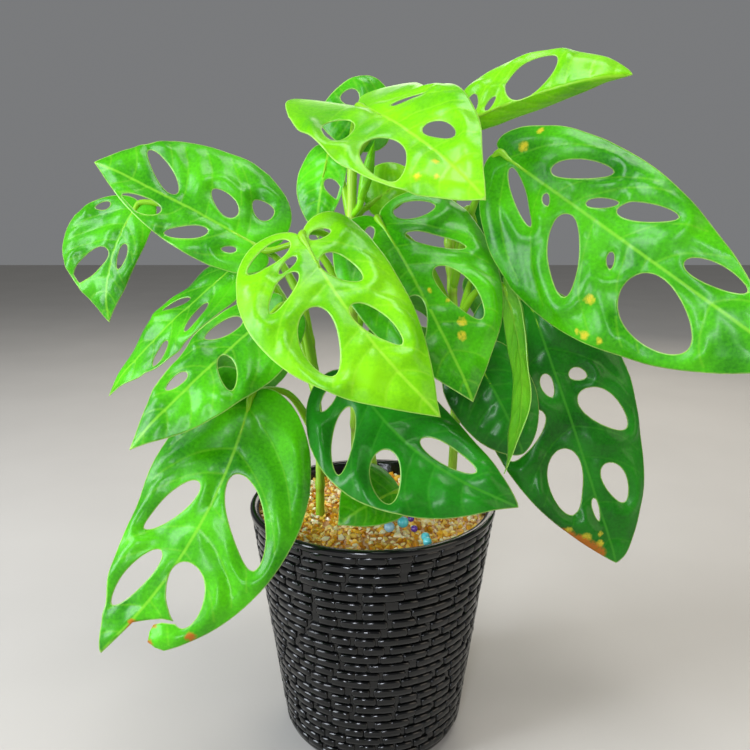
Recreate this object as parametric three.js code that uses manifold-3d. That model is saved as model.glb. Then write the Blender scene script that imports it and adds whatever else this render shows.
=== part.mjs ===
// Potted swiss cheese plant: a round black pot, its soil and gravel, four stems and their leaves.
// Millimetres, +Z up, the pot's base on z = 0 and its axis on the origin, the front towards -Y.
import * as THREE from 'three';
import { mergeVertices } from 'three/addons/utils/BufferGeometryUtils.js';
import Module from 'manifold-3d';

const wasm = await Module();
wasm.setup();

// Driving dimensions of the pot
const POT_HEIGHT = 120;
const RIM_RADIUS = 60;
const BASE_RADIUS = 44;
const BASE_CORNER = 9;
const WALL = 4.5;
const FLOOR_THICKNESS = 5;
const SEAT_GAP = 0.3;
const WELL_GAP = 0.9;
const WELL_DEPTH = 10;
const LIP_ROUND = 2;

// Fill levels inside the pot
const SOIL_TOP = 108;
const GRAVEL_TOP = 114.7;

// Plant stock sizes
const STEM_STEPS = 9;
const STEM_SIDES = 8;
const PETIOLE_STEPS = 5;
const PETIOLE_SIDES = 6;
const ROUND_SEGMENTS = 30;
const PETIOLE_RADIUS = 1.6;
const MIDRIB_THICKNESS = 1.3;
const MARGIN_THICKNESS = 0.8;
const LEAF_ROWS = 8;
const LEAF_COLUMNS = 4;
const HOLE_SIDES = 8;
const LEAST_CAD_HOLE = 5;
const HOLE_CUT = 6;

// How a blade bends: degrees its margin drops, where along it a twist is level, the reach over
// which its skin comes to lean, and its usual arch
const MARGIN_DROP = 10;
const TWIST_CENTRE = 0.4;
const LEAN_REACH = 4;
const USUAL_BOW = 5;

// Where a petiole joins the blade: behind its base, and how deep below the sheet
const JOINT_BEHIND = 2;
const JOINT_AHEAD = 4;
const JOINT_DEPTH = 0.6;
const UNDER_DEPTH = 5;

// Stems: the points they pass through, from inside the gravel to the top, and their radius
const STEMS = {
  stem_main: { path: [[-8, 4, 110], [-9, 5, 180], [-10, 7, 250], [-9, 8, 293]], radius: 2.5 },
  stem_left: { path: [[-26, -4, 110], [-26, 0, 150], [-29, 4, 190], [-34, 6, 222]], radius: 2.3 },
  stem_right: { path: [[38, 3, 110], [40, 6, 150], [40, 12, 195], [36, 16, 250]], radius: 2.4 },
  stem_front: { path: [[2, -14, 110], [1, -12, 135], [-3, -10, 160], [-8, -12, 186]], radius: 2 },
};

// One entry for each leaf, read off at real size.
//   stem, height: where its petiole leaves the stem
//   rise, via: how far the petiole arches over its chord, or the point it passes through
//   under: the petiole meets the blade square from its under side
//   base, tip: the two ends of the midrib; face: the way the upper side looks
//   wide: half widths left and right of the midrib, seen from above with the tip ahead
//   fold: degrees each half drops at the midrib
//   bow, sway: how far the midrib arches towards the face, and to the left
//   twist: degrees of turn from base to tip; full: below 1 makes a half broader near the tip
//   sweep: how far a half slides towards the tip, as a share of the length
//   holes: side (1 left, -1 right), share of the length, share of the half width, long, wide, turn
const LEAVES = [
  {
    name: 'leaf_centre', stem: 'stem_main', height: 226, rise: 10, base: [-27, -50, 249],
    tip: [25, -88, 187], face: [0.15, -0.8, 0.55], wide: [27, 36], bow: 6, sway: -6,
    sweep: [-0.06, -0.1],
    holes: [[-1, 0, 0.45, 21, 9, 80], [-1, 0.09, 0.3, 10, 4, 70], [-1, 0.2, 0.48, 19, 7, 60],
      [-1, 0.48, 0.42, 29, 14, 20], [1, 0.02, 0.26, 10, 5, 80], [1, 0.23, 0.28, 20, 10, 30],
      [1, 0.54, 0.2, 24, 9, 15]],
  },
  {
    name: 'leaf_left_top', stem: 'stem_main', height: 214, rise: 16, base: [-52, 5, 242],
    tip: [-134, 25, 282], face: [0, -0.85, 0.5], wide: [20, 37], full: [1, 0.8], bow: 4,
    holes: [[-1, 0.65, 0.28, 28, 8, 30], [-1, 0.28, 0.28, 18, 9, 25], [-1, 0.11, 0.48, 13, 9, 30],
      [1, 0.64, 0.45, 21, 8, 5], [1, 0.36, 0.55, 21, 6, 30], [1, 0.13, 0.42, 7, 3, 30]],
  },
  {
    name: 'leaf_left_far', stem: 'stem_left', height: 198, via: [-72, 44, 246], base: [-125, 60, 261],
    tip: [-140, 45, 201], face: [-0.2, -0.95, 0.2], wide: [15, 34], bow: 4, sway: -5,
    holes: [[-1, 0.58, 0.36, 27, 11, 40], [1, 0.45, 0.35, 14, 5, 0], [-1, 0.06, 0.57, 9, 5, 75]],
  },
  {
    name: 'leaf_left_back', stem: 'stem_left', height: 218, rise: 12, base: [-65, 20, 234],
    tip: [-131, 10, 170], face: [-0.5, -0.6, 0.6], wide: [20, 17], bow: 4,
    holes: [[1, 0.35, 0.5, 18, 6, 25], [1, 0.62, 0.45, 14, 5, 20], [-1, 0.4, 0.5, 16, 5, 25]],
  },
  {
    name: 'leaf_left_mid', stem: 'stem_left', height: 184, rise: 14, base: [-41, -25, 218],
    tip: [-98, -62, 166], face: [-0.1, -0.8, 0.6], wide: [23, 17], bow: 4,
    holes: [[-1, 0.27, 0.55, 18, 7, 15], [1, 0.43, 0.33, 18, 7, 60], [-1, 0.62, 0.34, 11, 5, 5]],
  },
  {
    name: 'leaf_left_low', stem: 'stem_left', height: 150, rise: 12, base: [-52, -40, 181],
    tip: [-112, -75, 83], face: [-0.1, -0.9, 0.4], wide: [38, 32], full: [0.6, 0.8], bow: 6, sway: 11,
    holes: [[-1, 0.45, 0.45, 31, 9, 25], [-1, 0.72, 0.32, 30, 9, 5], [1, 0.37, 0.43, 38, 15, 40],
      [1, 0.68, 0.27, 28, 15, 35]],
  },
  {
    name: 'leaf_top_centre', stem: 'stem_main', height: 288, rise: 4, base: [-5, -10, 303],
    tip: [41, -70, 264], face: [0, -0.6, 0.8], wide: [29, 35], fold: [-25, 0], bow: 5, twist: 35,
    sweep: [-0.25, -0.32],
    holes: [[-1, 0.21, 0.62, 18, 12, 50], [-1, 0.52, 0.46, 27, 17, 20], [1, 0.2, 0.45, 15, 4, 60],
      [1, 0.55, 0.25, 16, 8, 15]],
  },
  {
    name: 'leaf_top_back', stem: 'stem_main', height: 282, rise: 2, under: true, base: [6, 22, 299],
    tip: [-28, 25, 302], face: [0, -0.9, 0.3], wide: [16, 22],
    holes: [[-1, 0.52, 0.43, 9, 8, 0]],
  },
  {
    name: 'leaf_back_left', stem: 'stem_main', height: 254, rise: 2, base: [-20, 22, 288],
    tip: [-26, 10, 246], face: [-0.3, -0.9, 0.3], wide: [11, 14],
    holes: [[1, 0.48, 0.52, 12, 6, 45]],
  },
  {
    name: 'leaf_back_mid', stem: 'stem_main', height: 246, rise: 4, base: [-1, 15, 262],
    tip: [24, 20, 276], face: [0, -0.9, 0.3], wide: [14, 9], holes: [],
  },
  {
    name: 'leaf_top_right', stem: 'stem_right', height: 244, rise: 10, base: [43, 10, 299],
    tip: [112, -5, 317], face: [0, -0.8, 0.6], wide: [26, 11], fold: [0, 75], full: [0.6, 1],
    holes: [[1, 0.44, 0.4, 28, 16, 35], [1, 0.05, 0.33, 11, 6, 75], [1, 0.16, 0.16, 8, 3, 45]],
  },
  {
    name: 'leaf_right_big', stem: 'stem_right', height: 222, rise: 10, base: [56, -10, 283],
    tip: [151, -88, 206], face: [-0.6, -0.75, 0.3], wide: [29, 44], full: [1, 0.7], bow: 8,
    sweep: [0.1, 0.16],
    holes: [[1, 0.25, 0.44, 26, 8, 30], [1, 0.36, 0.24, 13, 4, 35], [1, 0.48, 0.45, 24, 7, 25],
      [1, 0.72, 0.3, 24, 8, 10], [-1, 0.14, 0.22, 29, 6, 30], [-1, 0.22, 0.1, 6, 3, 35],
      [-1, 0.37, 0.4, 34, 13, 50], [-1, 0.48, 0.2, 7, 3, 55], [-1, 0.67, 0.33, 35, 22, 15]],
  },
  {
    name: 'leaf_right_low', stem: 'stem_right', height: 168, rise: 16, base: [76, 15, 216],
    tip: [123, 0, 85], face: [0, -0.95, 0.3], wide: [36, 42], full: [0.6, 0.9], bow: 4,
    sweep: [0.15, 0],
    holes: [[1, 0.45, 0.48, 30, 15, 35], [1, 0.3, 0.3, 9, 6, 60], [-1, 0.65, 0.26, 34, 17, 10],
      [1, 0.71, 0.31, 23, 11, 10], [-1, 0.78, 0.04, 12, 3, 5], [-1, 0.3, 0.12, 12, 6, 0],
      [-1, 0.44, 0.56, 29, 13, 50]],
  },
  {
    name: 'leaf_centre_right', stem: 'stem_right', height: 208, rise: 10, base: [3, -10, 255],
    tip: [41, -55, 184], face: [0.2, -0.9, 0.35], wide: [42, 30], bow: 5, sweep: [-0.13, 0],
    holes: [[1, 0, 0.42, 20, 10, 85], [1, 0.21, 0.44, 28, 7, 60], [1, 0.51, 0.36, 30, 12, 15],
      [-1, 0.56, 0.24, 23, 10, 20], [-1, 0.06, 0.24, 9, 4, 30]],
  },
  {
    name: 'leaf_low_centre', stem: 'stem_front', height: 168, rise: 8, base: [-9, -28, 189],
    tip: [59, -66, 143], face: [0.1, -0.8, 0.6], wide: [25, 34], full: [0.8, 1], bow: 6, sway: -11,
    sweep: [0, -0.12],
    holes: [[-1, 0.21, 0.56, 28, 10, 50], [-1, 0.48, 0.48, 23, 12, 45], [1, 0.62, 0.24, 26, 8, 0],
      [-1, 0, 0.45, 12, 6, 75]],
  },
  {
    name: 'leaf_low_small', stem: 'stem_front', height: 124, rise: 4, base: [12, -25, 134],
    tip: [-15, -45, 126], face: [0, -0.8, 0.6], wide: [12, 20], holes: [],
  },
  {
    name: 'leaf_right_small', stem: 'stem_right', height: 150, rise: 12, base: [47, -2, 193],
    tip: [71, -12, 147], face: [0.1, -0.9, 0.3], wide: [20, 22], full: [0.6, 0.6], holes: [],
  },
  {
    name: 'leaf_edge_on', stem: 'stem_right', height: 204, rise: 8, base: [60, -15, 224],
    tip: [58, -42, 148], face: [1, 0.2, 0.1], wide: [12, 12], bow: 8, holes: [],
  },
  {
    name: 'leaf_back_right', stem: 'stem_right', height: 232, rise: 8, base: [48, 27, 258],
    tip: [76, 32, 198], face: [0.1, -0.9, 0.3], wide: [18, 16],
    holes: [[1, 0.4, 0.45, 18, 7, 25], [-1, 0.45, 0.4, 15, 6, 25]],
  },
  {
    name: 'leaf_rear_low', stem: 'stem_main', height: 196, rise: 14, base: [6, 48, 214],
    tip: [20, 84, 146], face: [-0.1, 0.85, 0.5], wide: [27, 29], bow: 5,
    holes: [[1, 0.22, 0.5, 20, 8, 40], [1, 0.5, 0.42, 22, 9, 25], [-1, 0.25, 0.5, 22, 8, 40],
      [-1, 0.55, 0.4, 22, 10, 20]],
  },
  {
    name: 'leaf_rear_right', stem: 'stem_right', height: 196, rise: 14, base: [62, 52, 226],
    tip: [96, 80, 168], face: [0.3, 0.75, 0.6], wide: [22, 25], bow: 5,
    holes: [[1, 0.3, 0.45, 20, 8, 35], [-1, 0.3, 0.48, 20, 8, 35], [-1, 0.6, 0.38, 18, 8, 20]],
  },
  {
    name: 'leaf_rear_left', stem: 'stem_left', height: 172, rise: 16, base: [-52, 44, 200],
    tip: [-78, 78, 138], face: [-0.3, 0.75, 0.6], wide: [24, 22], bow: 5,
    holes: [[1, 0.28, 0.48, 20, 8, 35], [1, 0.58, 0.38, 18, 8, 20], [-1, 0.35, 0.45, 20, 8, 30]],
  },
];

// The furled new leaf stands on the main stem
const NEW_LEAF = { base: [-6, 3, 262], tip: [1, 4, 290], radius: 3.2 };

// Decorative beads lying on the gravel: place and radius
const BEADS = {
  bead_turquoise_large: { at: [14, -23.5], radius: 2.7, colour: '#3fc0c8' },
  bead_blue: { at: [7.5, -28.5], radius: 2.5, colour: '#8fc4d8' },
  bead_turquoise_back: { at: [23.5, -38], radius: 2, colour: '#3fc0c8' },
  bead_turquoise_front: { at: [24, -43], radius: 2, colour: '#3fc0c8' },
  bead_purple_front: { at: [19, -28.5], radius: 1.6, colour: '#4b1e8c' },
  bead_purple_mid: { at: [18, -17], radius: 1.6, colour: '#4b1e8c' },
  bead_purple_back: { at: [12.5, -13.5], radius: 1.6, colour: '#4b1e8c' },
  bead_purple_right: { at: [33, -10], radius: 1.6, colour: '#4b1e8c' },
};

// Outline of one leaf half in shares of length and half width: the round base, then the margin
const SHOULDER = [0.18, 0.97];
const BASE_OUTLINE = spline2([[0, 0], [-0.05, 0.08], [-0.07, 0.3], [-0.04, 0.58], [0.05, 0.82], SHOULDER]);
const MARGIN_OUTLINE = spline2([SHOULDER, [0.33, 1], [0.52, 0.9], [0.7, 0.67], [0.85, 0.36], [0.94, 0.14],
  [1, 0.02]]);
const WIDEST_AT = 0.33;

const COLOURS = {
  pot: '#0b0d0c', soil: '#3a2a1c', gravel: '#e8b54a', stem: '#9bd81e', leafLight: '#63c40a',
    leaf: '#2e9a00',
  leafDark: '#0f5a0a',
};
const LIGHT_LEAVES = ['leaf_centre', 'leaf_top_centre', 'leaf_top_right', 'leaf_edge_on', 'leaf_back_mid'];
const DARK_LEAVES = ['leaf_right_low', 'leaf_right_small', 'leaf_back_right', 'leaf_low_centre'];

function spline2(points) {
  return new THREE.SplineCurve(points.map(([x, y]) => new THREE.Vector2(x, y)));
}

function vector([x, y, z]) {
  return new THREE.Vector3(x, y, z);
}

function degrees(value) {
  return THREE.MathUtils.degToRad(value);
}

function material(colour, roughness, metalness = 0) {
  return new THREE.MeshStandardMaterial({ color: colour, roughness, metalness });
}

// A geometry with only shared positions left, which is what a solid is made from
function bare(geometry) {
  const copy = geometry.clone();
  copy.deleteAttribute('normal');
  copy.deleteAttribute('uv');
  return mergeVertices(copy, 1e-4);
}

function solidOf(geometry) {
  const merged = bare(geometry);
  const mesh = new wasm.Mesh({
    numProp: 3,
    vertProperties: new Float32Array(merged.attributes.position.array),
    triVerts: new Uint32Array(merged.index.array),
  });
  return new wasm.Manifold(mesh);
}

function geometryOf(solid) {
  const mesh = solid.getMesh();
  const geometry = new THREE.BufferGeometry();
  geometry.setAttribute('position', new THREE.BufferAttribute(new Float32Array(mesh.vertProperties), 3));
  geometry.setIndex(new THREE.BufferAttribute(new Uint32Array(mesh.triVerts), 1));
  const flat = geometry.toNonIndexed();
  flat.computeVertexNormals();
  return flat;
}

function tube(points, radius, steps, sides) {
  const ring = new THREE.Shape();
  ring.absarc(0, 0, radius, 0, 2 * Math.PI, false);
  const path = new THREE.CatmullRomCurve3(points);
  const curveSegments = sides / 2;
  return new THREE.ExtrudeGeometry(ring, { extrudePath: path, steps, curveSegments, bevelEnabled: false });
}

function lathe(profile, segments) {
  const turned = new THREE.LatheGeometry(profile.map(([r, z]) => new THREE.Vector2(r, z)), segments);
  return turned.rotateX(Math.PI / 2);
}

function outerRadiusAt(z) {
  return BASE_RADIUS + (RIM_RADIUS - BASE_RADIUS) * (z / POT_HEIGHT);
}

function potGeometry() {
  const corner = [0, 30, 60, 90].map((angle) => {
    const out = outerRadiusAt(BASE_CORNER) - BASE_CORNER * (1 - Math.sin(degrees(angle)));
    return [out, BASE_CORNER * (1 - Math.cos(degrees(angle)))];
  });
  const innerFloor = outerRadiusAt(FLOOR_THICKNESS) - WALL - BASE_CORNER / 2;
  const innerRim = RIM_RADIUS - WALL;
  const profile = [[0, 0], ...corner,
    [RIM_RADIUS, POT_HEIGHT - LIP_ROUND], [RIM_RADIUS - 0.8, POT_HEIGHT - 0.5],
    [RIM_RADIUS - LIP_ROUND, POT_HEIGHT], [innerRim + 0.8, POT_HEIGHT - 0.4],
    [innerRim, POT_HEIGHT - LIP_ROUND],
    [outerRadiusAt(BASE_CORNER + FLOOR_THICKNESS) - WALL, BASE_CORNER + FLOOR_THICKNESS],
    [innerFloor, FLOOR_THICKNESS], [0, FLOOR_THICKNESS]];
  return lathe(profile, ROUND_SEGMENTS);
}

function innerRadiusAt(z) {
  const low = BASE_CORNER + FLOOR_THICKNESS;
  const lowRadius = outerRadiusAt(low) - WALL;
  const share = (z - low) / (POT_HEIGHT - LIP_ROUND - low);
  return lowRadius + (RIM_RADIUS - WALL - lowRadius) * share;
}

function soilGeometry() {
  const low = BASE_CORNER + FLOOR_THICKNESS;
  const bottom = FLOOR_THICKNESS + SEAT_GAP;
  const bottomRadius = outerRadiusAt(FLOOR_THICKNESS) - WALL - BASE_CORNER / 2 - 2 * SEAT_GAP;
  const profile = [[0, bottom], [bottomRadius, bottom], [innerRadiusAt(low) - 2 * SEAT_GAP, low],
    [innerRadiusAt(SOIL_TOP) - 2 * SEAT_GAP, SOIL_TOP], [0, SOIL_TOP]];
  return lathe(profile, ROUND_SEGMENTS);
}

function stemPoints(stem) {
  const points = stem.path.map(vector);
  points[0].z = SOIL_TOP + SEAT_GAP;
  return points;
}

function stemClearance(stem) {
  return solidOf(tube(stemPoints(stem), stem.radius + 2 * SEAT_GAP, STEM_STEPS, STEM_SIDES));
}

function gravelBedGeometry() {
  const bottom = SOIL_TOP + SEAT_GAP;
  const profile = [[0, bottom], [innerRadiusAt(bottom) - 2 * SEAT_GAP, bottom],
    [innerRadiusAt(GRAVEL_TOP) - 2 * SEAT_GAP, GRAVEL_TOP], [0, GRAVEL_TOP]];
  let bed = solidOf(lathe(profile, ROUND_SEGMENTS));
  for (const stem of Object.values(STEMS)) {
    const radius = stem.radius + WELL_GAP;
    const well = new THREE.CylinderGeometry(radius, radius, 2 * WELL_DEPTH, 12).rotateX(Math.PI / 2);
    well.translate(stem.path[0][0], stem.path[0][1], GRAVEL_TOP);
    bed = bed.subtract(solidOf(well));
  }
  return geometryOf(bed);
}

// The leaf's own frame: T along the chord, N out of the upper side, S to the left
function leafFrame(leaf) {
  const base = vector(leaf.base);
  const along = vector(leaf.tip).sub(base);
  const length = along.length();
  const T = along.normalize();
  const N = vector(leaf.face);
  N.addScaledVector(T, -N.dot(T)).normalize();
  const S = new THREE.Vector3().crossVectors(N, T);
  return { base, length, T, N, S };
}

// Carries a point of the flat leaf (x along, y to the left, z up from the sheet) to its place
function bend(leaf, frame, x, y, z) {
  const share = x / frame.length;
  const turn = degrees(leaf.twist ?? 0) * (share - TWIST_CENTRE);
  const N = frame.N.clone().multiplyScalar(Math.cos(turn)).addScaledVector(frame.S, -Math.sin(turn));
  const S = frame.S.clone().multiplyScalar(Math.cos(turn)).addScaledVector(frame.N, Math.sin(turn));
  const arch = 4 * share * (1 - share);
  const side = y >= 0 ? 0 : 1;
  const sign = y >= 0 ? 1 : -1;
  const reach = Math.abs(y);
  const fold = degrees((leaf.fold ?? [0, 0])[side]);
  const rate = degrees(MARGIN_DROP) / leaf.wide[side];
  const angle = fold + rate * reach;
  const across = (Math.sin(angle) - Math.sin(fold)) / rate;
  const down = (Math.cos(fold) - Math.cos(angle)) / rate;
  const lean = angle * Math.min(1, reach / LEAN_REACH);
  return frame.base.clone()
    .addScaledVector(frame.T, x)
    .addScaledVector(frame.N, (leaf.bow ?? USUAL_BOW) * arch)
    .addScaledVector(frame.S, (leaf.sway ?? 0) * arch)
    .addScaledVector(S, sign * (across + z * Math.sin(lean)))
    .addScaledVector(N, z * Math.cos(lean) - down);
}

// Where a grid point of the blank lies in the flat leaf: u from base to tip, v from -1 to 1
function flatPoint(leaf, length, u, v) {
  const side = v >= 0 ? 0 : 1;
  const a = Math.abs(v);
  const margin = MARGIN_OUTLINE.getPoint(u);
  const round = BASE_OUTLINE.getPoint(a);
  const fade = (1 - u) ** 3;
  let along = THREE.MathUtils.lerp(u, margin.x, a) + (round.x - SHOULDER[0] * a) * fade;
  let out = a * margin.y + (round.y - SHOULDER[1] * a) * fade;
  const full = (leaf.full ?? [1, 1])[side];
  if (along > WIDEST_AT) {
    out = a * (out / a || 0) ** full;
  }
  along += (leaf.sweep ?? [0, 0])[side] * out * (1 - along) ** 2;
  return [along * length, Math.sign(v) * out * leaf.wide[side]];
}

function flatBlank(leaf, length) {
  const box = bare(new THREE.BoxGeometry(1, 2, 1, LEAF_ROWS, LEAF_COLUMNS, 1));
  const place = box.attributes.position;
  for (let i = 0; i < place.count; i += 1) {
    const v = place.getY(i);
    const [x, y] = flatPoint(leaf, length, place.getX(i) + 0.5, v);
    const thickness = MIDRIB_THICKNESS - (MIDRIB_THICKNESS - MARGIN_THICKNESS) * Math.abs(v) ** 0.6;
    place.setXYZ(i, x, y, place.getZ(i) * thickness);
  }
  return box;
}

function holeSolid(leaf, length, [side, along, out, long, wide, turn]) {
  const index = side > 0 ? 0 : 1;
  const oval = new THREE.Shape();
  oval.absellipse(0, 0, long / 2, wide / 2, 0, 2 * Math.PI, false, 0);
  const prism = new THREE.ExtrudeGeometry(oval, {
    depth: HOLE_CUT, curveSegments: HOLE_SIDES / 2, bevelEnabled: false,
  });
  prism.translate(0, 0, -HOLE_CUT / 2);
  prism.rotateZ(side * degrees(turn));
  prism.translate(along * length, side * out * leaf.wide[index], 0);
  return solidOf(prism);
}

function bladeSolid(leaf) {
  const frame = leafFrame(leaf);
  let blade = solidOf(flatBlank(leaf, frame.length));
  for (const hole of leaf.holes) {
    if (Math.min(hole[3], hole[4]) >= LEAST_CAD_HOLE) {
      blade = blade.subtract(holeSolid(leaf, frame.length, hole));
    }
  }
  const flat = bare(geometryOf(blade));
  const place = flat.attributes.position;
  for (let i = 0; i < place.count; i += 1) {
    const bent = bend(leaf, frame, place.getX(i), place.getY(i), place.getZ(i));
    place.setXYZ(i, bent.x, bent.y, bent.z);
  }
  return solidOf(flat);
}

// A point on a stem's axis at a height, found along its curve
function stemPointAt(stem, height) {
  const curve = new THREE.CatmullRomCurve3(stemPoints(stem));
  let low = 0;
  let high = 1;
  for (let i = 0; i < 30; i += 1) {
    const middle = (low + high) / 2;
    if (curve.getPoint(middle).z < height) {
      low = middle;
    } else {
      high = middle;
    }
  }
  return curve.getPoint(low);
}

// The petiole climbs from the stem, arches over and meets the blade from behind its base
function petioleSolid(leaf) {
  const frame = leafFrame(leaf);
  const start = stemPointAt(STEMS[leaf.stem], leaf.height);
  let behind = bend(leaf, frame, -JOINT_BEHIND, 0, -JOINT_DEPTH);
  let end = bend(leaf, frame, JOINT_AHEAD, 0, -JOINT_DEPTH);
  if (leaf.under) {
    behind = bend(leaf, frame, 1, 0, -UNDER_DEPTH);
    end = bend(leaf, frame, 2, 0, 0);
  }
  const middle = leaf.via ? vector(leaf.via) : start.clone().lerp(behind, 0.5);
  middle.z += leaf.rise ?? 0;
  return solidOf(tube([start, middle, behind, end], PETIOLE_RADIUS, PETIOLE_STEPS, PETIOLE_SIDES));
}

function leafGeometry(leaf) {
  const joined = bladeSolid(leaf).add(petioleSolid(leaf));
  return geometryOf(joined.subtract(stemClearance(STEMS[leaf.stem])));
}

function newLeafGeometry() {
  const base = vector(NEW_LEAF.base);
  const tip = vector(NEW_LEAF.tip);
  const height = tip.distanceTo(base);
  const radius = NEW_LEAF.radius;
  const profile = [[0, 0], [radius * 0.5, 0.3], [radius * 0.8, height * 0.2], [radius, height * 0.45],
    [radius * 0.7, height * 0.75], [0, height]];
  const roll = lathe(profile, 10);
  roll.applyQuaternion(new THREE.Quaternion().setFromUnitVectors(
    new THREE.Vector3(0, 0, 1), tip.clone().sub(base).normalize()));
  roll.translate(base.x, base.y, base.z);
  const stem = STEMS.stem_main;
  const start = stemPointAt(stem, NEW_LEAF.base[2] - 6);
  const stalkPath = [start, base.clone().setZ(base.z - 1), base.clone().lerp(tip, 0.1)];
  const stalk = tube(stalkPath, PETIOLE_RADIUS, 3, PETIOLE_SIDES);
  return geometryOf(solidOf(roll).add(solidOf(stalk)).subtract(stemClearance(stem)));
}

function add(group, name, geometry, surface) {
  const mesh = new THREE.Mesh(geometry, surface);
  mesh.name = name;
  group.add(mesh);
}

function leafColour(name) {
  if (LIGHT_LEAVES.includes(name)) {
    return COLOURS.leafLight;
  }
  return DARK_LEAVES.includes(name) ? COLOURS.leafDark : COLOURS.leaf;
}

const group = new THREE.Group();
add(group, 'pot', potGeometry(), material(COLOURS.pot, 0.18));
add(group, 'soil', soilGeometry(), material(COLOURS.soil, 0.95));
add(group, 'gravel_bed', gravelBedGeometry(), material(COLOURS.gravel, 0.8));

for (const [name, stem] of Object.entries(STEMS)) {
  add(group, name, tube(stemPoints(stem), stem.radius, STEM_STEPS, STEM_SIDES), material(COLOURS.stem,
    0.45));
}

for (const leaf of LEAVES) {
  add(group, leaf.name, leafGeometry(leaf), material(leafColour(leaf.name), 0.3));
}
add(group, 'new_leaf', newLeafGeometry(), material(COLOURS.leafLight, 0.35));

for (const [name, bead] of Object.entries(BEADS)) {
  const ball = new THREE.SphereGeometry(bead.radius, 8, 6).rotateX(Math.PI / 2);
  ball.translate(bead.at[0], bead.at[1], GRAVEL_TOP + SEAT_GAP + bead.radius);
  add(group, name, ball, material(bead.colour, 0.2));
}

export default group;
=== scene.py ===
# %% [markdown]
# # A potted swiss cheese plant
#
# The plant is a young climbing aroid with holes in its leaves. It grows in a round black pot
# moulded with rings of short raised bars, and golden crushed gravel with a few beads covers the
# soil. The CAD frame already holds every part at its real place and size. This lesson builds a
# finer piece for each part in the same frame, gives it a surface, and sets up a small studio.

# %% The frame
import math

import bmesh
import bpy
import numpy as np
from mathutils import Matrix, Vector
from mathutils.geometry import delaunay_2d_cdt


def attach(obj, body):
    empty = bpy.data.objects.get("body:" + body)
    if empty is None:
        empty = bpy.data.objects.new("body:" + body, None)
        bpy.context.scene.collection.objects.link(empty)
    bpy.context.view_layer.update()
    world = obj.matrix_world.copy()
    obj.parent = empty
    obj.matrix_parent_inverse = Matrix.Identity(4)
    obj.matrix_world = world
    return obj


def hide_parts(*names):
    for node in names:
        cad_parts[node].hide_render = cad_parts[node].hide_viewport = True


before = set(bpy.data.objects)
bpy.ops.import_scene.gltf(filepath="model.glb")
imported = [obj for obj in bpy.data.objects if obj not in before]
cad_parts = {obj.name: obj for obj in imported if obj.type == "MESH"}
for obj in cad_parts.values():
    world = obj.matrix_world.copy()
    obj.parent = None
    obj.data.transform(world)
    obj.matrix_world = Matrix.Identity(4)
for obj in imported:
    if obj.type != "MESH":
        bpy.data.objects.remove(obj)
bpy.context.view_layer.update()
print("CAD nodes:", len(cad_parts))

# %% [markdown]
# ## Helpers for surfaces
#
# All sizes below are written in millimetres, as on a drawing, and `MM` turns them into metres.
# Colours are written as the hex values of a paint chart and turned into linear light once. One
# helper adds a node to any tree, with its settings and its links, and the rest start a material
# and put it on a piece.

# %% Surface helpers
MM = 0.001


def linear(hex_colour):
    """An sRGB hex colour as linear red, green, blue and a full alpha."""
    shares = [int(hex_colour[i:i + 2], 16) / 255 for i in (1, 3, 5)]
    return tuple(s / 12.92 if s <= 0.04045 else ((s + 0.055) / 1.055) ** 2.4 for s in shares) + (1,)


def add_node(tree, kind, inputs=None, **settings):
    """A new node. inputs maps a socket's name, identifier or number to a value or to an output."""
    node = tree.nodes.new(kind)
    for name, value in settings.items():
        setattr(node, name, value)
    for key, value in (inputs or {}).items():
        if isinstance(key, int):
            socket = node.inputs[key]
        else:
            socket = next(s for s in node.inputs if key in (s.identifier, s.name))
        if isinstance(value, bpy.types.NodeSocket):
            tree.links.new(value, socket)
        else:
            socket.default_value = value
    return node


def new_material(name):
    """A material whose tree holds one Principled shader. Returns the material, tree and shader."""
    material = bpy.data.materials.new(name)
    material.use_nodes = True
    tree = material.node_tree
    return material, tree, tree.nodes["Principled BSDF"]


def set_surface(piece, material):
    """The piece gets this one material."""
    piece.data.materials.clear()
    piece.data.materials.append(material)


print("one drawing unit:", MM, "m")

# %% [markdown]
# ## Helpers for meshes
#
# Every piece is a mesh whose object sits unturned at the origin, so that its place is in its
# points. Turned bodies, tubes and bars are all rows of points that go once round, so one rule winds
# the faces of them all outwards and caps both ends. A turned body's section stops a hair's breadth
# from the axis, which leaves a cap too small to see.

# %% Mesh helpers
NEAR_AXIS = 0.01


def new_piece(name, points, faces, smooth=True):
    """A mesh piece from points in millimetres and faces that wind outwards."""
    mesh = bpy.data.meshes.new(name)
    mesh.from_pydata([tuple(MM * v for v in p) for p in points], [], [tuple(f) for f in faces])
    mesh.polygons.foreach_set("use_smooth", [smooth] * len(mesh.polygons))
    mesh.update()
    piece = bpy.data.objects.new(name, mesh)
    bpy.context.scene.collection.objects.link(piece)
    return piece


def ring_faces(rows, sides):
    """Faces of a closed body whose points go once round in each row, with a cap at both ends."""
    faces = []
    for row in range(rows - 1):
        low = row * sides
        for k in range(sides):
            after = (k + 1) % sides
            faces.append((low + k, low + after, low + sides + after, low + sides + k))
    last = (rows - 1) * sides
    return faces + [tuple(reversed(range(sides))), tuple(range(last, last + sides))]


def turned(profile, sides):
    """Points and faces of a closed body turned round the z axis from (radius, z) pairs."""
    points = []
    for radius, z in profile:
        for k in range(sides):
            turn = 2 * math.pi * k / sides
            points.append((radius * math.cos(turn), radius * math.sin(turn), z))
    return points, ring_faces(len(profile), sides)


print("mesh helpers ready")

# %% [markdown]
# ## Helpers for repeated parts
#
# What repeats hundreds of times, such as bars and gravel, is laid out by Geometry Nodes. One helper
# starts a tree with a named input for each size, and the other runs it and keeps the plain mesh.

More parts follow.
